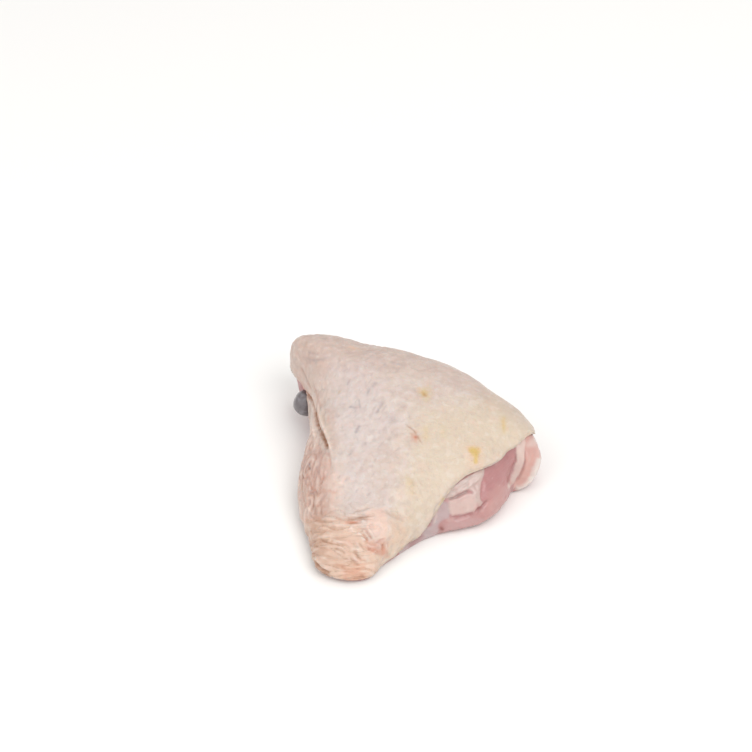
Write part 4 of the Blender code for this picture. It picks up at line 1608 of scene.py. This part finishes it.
@dataclass
class Meat:
    """The flesh under the skin, bare along the cut and on the underside.

    Attributes:
        view: the photograph's camera.
        voxel: spacing of its vertices.
        passes: how often the fine copy is smoothed.
        hidden_share: the share of the faces kept where the skin hides them.
        hidden_depth: how far in from the skin's edge that starts.
        skin_reach: how far off the skin may be to cover a vertex.
        worked_depth: span, in from the skin's edge, in which the surface starts to be worked.
        worked_height: the same, up from the floor.
        relief: the lumps and bundles, each with its height.
        seed: picks the random patterns.
    """

    view: PhotoView
    voxel: float = 0.45
    passes: int = 6
    hidden_share: float = 0.08
    hidden_depth: float = 3.0
    skin_reach: float = 2.5
    worked_depth: Span = (1.5, 0.5)
    worked_height: Span = (0.3, 2.0)
    relief: tuple[tuple[Grain, float], ...] = ((Grain.MEAT_BUNDLE, 0.35), (Grain.MEAT_LUMP, 0.12))
    seed: float = 31.7

    def build(self, frame: dict) -> bpy.types.Object:
        """Makes the piece.


        Returns:
            The finished object.
        """
        piece = fine_copy(frame["nodes"]["flesh"], "meat", self.voxel, self.passes)
        skin = surface_tree(frame["nodes"]["skin"])
        thin_out(piece, self.depth_under_skin(piece, skin) > self.hidden_depth, self.hidden_share)
        surface = Surface(piece, self.view)
        bare = ramp(self.depth_under_skin(piece, skin), *self.worked_depth)
        surface.reach = ramp(surface.points[:, 2], *self.worked_height) * bare
        self.roughen(surface)
        surface.lay(MEAT_PATCHES)
        surface.draw(MEAT_LINES)
        surface.write()
        surface.store_layers()
        piece.data.shade_smooth()
        piece.data.materials.append(MeatFinish().material())
        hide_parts("flesh")
        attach(piece, "root")
        return piece

    def depth_under_skin(self, piece: bpy.types.Object, skin: BVHTree) -> np.ndarray:
        """How far in from the skin's cut edge each covered vertex is, and 0 where it is bare."""
        surface = Surface(piece, self.view)
        covered = []
        for place, normal in zip((surface.points * MM).tolist(), surface.normals.tolist()):
            covered.append(skin.ray_cast(place, normal, self.skin_reach * MM)[0] is not None)
        tree = near_tree(surface.points[~np.array(covered)])
        places = zip(surface.points.tolist(), covered)
        return np.array([tree.find(place)[2] if hid else 0.0 for place, hid in places])

    def roughen(self, surface: Surface) -> None:
        """Lifts the lumps and bundles of the muscle, and tints it."""
        surface.lift(sum(grain.on(surface.points, self.seed) * height for grain, height in self.relief))
        for tint in MEAT_TINTS:
            surface.tint(1.0, tint.grain.on(surface.points, self.seed), tint)
        surface.write()


@dataclass
class BoneEnd:
    """The round gristle end of the thigh bone.

    Attributes:
        view: the photograph's camera.
        levels: how finely its surface is divided.
        dents: depth of its unevenness.
        settle: how far it sinks all over, as a share of that depth.
        seed: picks the dents.
    """

    view: PhotoView
    levels: int = 2
    dents: float = 0.45
    settle: float = 0.3
    seed: float = 3.1

    def build(self, frame: dict) -> bpy.types.Object:
        """Makes the piece.


        Returns:
            The finished object.
        """
        piece = merged_copy(frame["nodes"]["bone_end"], "gristle_end")
        rounded(piece, self.levels)
        surface = Surface(piece, self.view)
        dents = Grain.GRISTLE_DENT.on(surface.points, self.seed)
        surface.lift(dents * self.dents - self.dents * self.settle)
        surface.write()
        piece.data.shade_smooth()
        piece.data.materials.append(GristleFinish().material())
        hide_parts("bone_end")
        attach(piece, "root")
        return piece


@dataclass(frozen=True)
class SoftLight:
    """One large studio light.

    Attributes:
        name: the light's name.
        azimuth: where it stands, in degrees to the right of the camera.
        elevation: its height over the horizon, in degrees.
        distance: how far it is from the part, in metres.
        size: its width in metres.
        power: in watts.
    """

    name: str
    azimuth: float
    elevation: float
    distance: float
    size: float
    power: float

    def add(self) -> None:
        """Adds the light, aimed at the part."""
        around, above = math.radians(self.azimuth), math.radians(self.elevation)
        level = math.cos(above)
        away = Vector((math.sin(around) * level, -math.cos(around) * level, math.sin(above)))
        deselect()
        bpy.ops.object.light_add(type="AREA", location=away * self.distance)
        light = bpy.context.object
        light.name = self.name
        light.rotation_euler = away.to_track_quat("Z", "Y").to_euler()
        light.data.size = self.size
        light.data.energy = self.power


@dataclass
class Studio:
    """The pale floor and the soft lights.

    Attributes:
        floor_size: width of the floor in metres.
        floor_colour: its display colour.
        cloud_colour: the display colour of the faint clouds on it.
        cloud_share: how strong they are.
        cloud_size: how far apart they are, in millimetres.
        lights: the large lights.
        ambient: strength of the even light from all round.
        ambient_paint: its colour.
    """

    floor_size: float = 6.0
    floor_colour: str = "f7f6f4"
    cloud_colour: str = "eeedeb"
    cloud_share: float = 0.03
    cloud_size: float = 120.0
    lights: tuple[SoftLight, ...] = (
        SoftLight("key", 35.0, 50.0, 1.2, 0.8, 7.0),
        SoftLight("fill", -55.0, 35.0, 1.3, 1.2, 4.5),
        SoftLight("top", 150.0, 70.0, 1.3, 1.0, 1.6),
    )
    ambient: float = 0.72
    ambient_paint: Paint = (1.0, 0.99, 0.98)

    def build(self) -> None:
        """Adds the floor, the lights and the world."""
        deselect()
        bpy.ops.mesh.primitive_plane_add(size=self.floor_size)
        floor = bpy.context.object
        floor.name = "floor"
        bench = Bench("pale_floor")
        clouds = bench.mottle(self.cloud_size) * self.cloud_share
        colour = bench.blend(clouds, linear(self.floor_colour, 1.0), linear(self.cloud_colour, 1.0))
        floor.data.materials.append(bench.finish({"Base Color": colour, "Roughness": 0.7}))
        for light in self.lights:
            light.add()
        world = bpy.data.worlds.new("studio")
        world.use_nodes = True
        background = world.node_tree.nodes["Background"]
        background.inputs["Color"].default_value = (*self.ambient_paint, 1.0)
        background.inputs["Strength"].default_value = self.ambient
        bpy.context.scene.world = world
        bpy.context.scene.view_settings.view_transform = "Standard"


def main() -> None:
    """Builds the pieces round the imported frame."""
    logging.basicConfig(level=logging.INFO, format="%(message)s")
    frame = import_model()
    view = PhotoView()
    view.add_camera()
    Studio().build()
    for builder in (SkinSheet(view), Meat(view), BoneEnd(view)):
        piece = builder.build(frame)
        LOG.info("%s: %d faces", piece.name, len(piece.data.polygons))


if __name__ == "__main__":
    main()
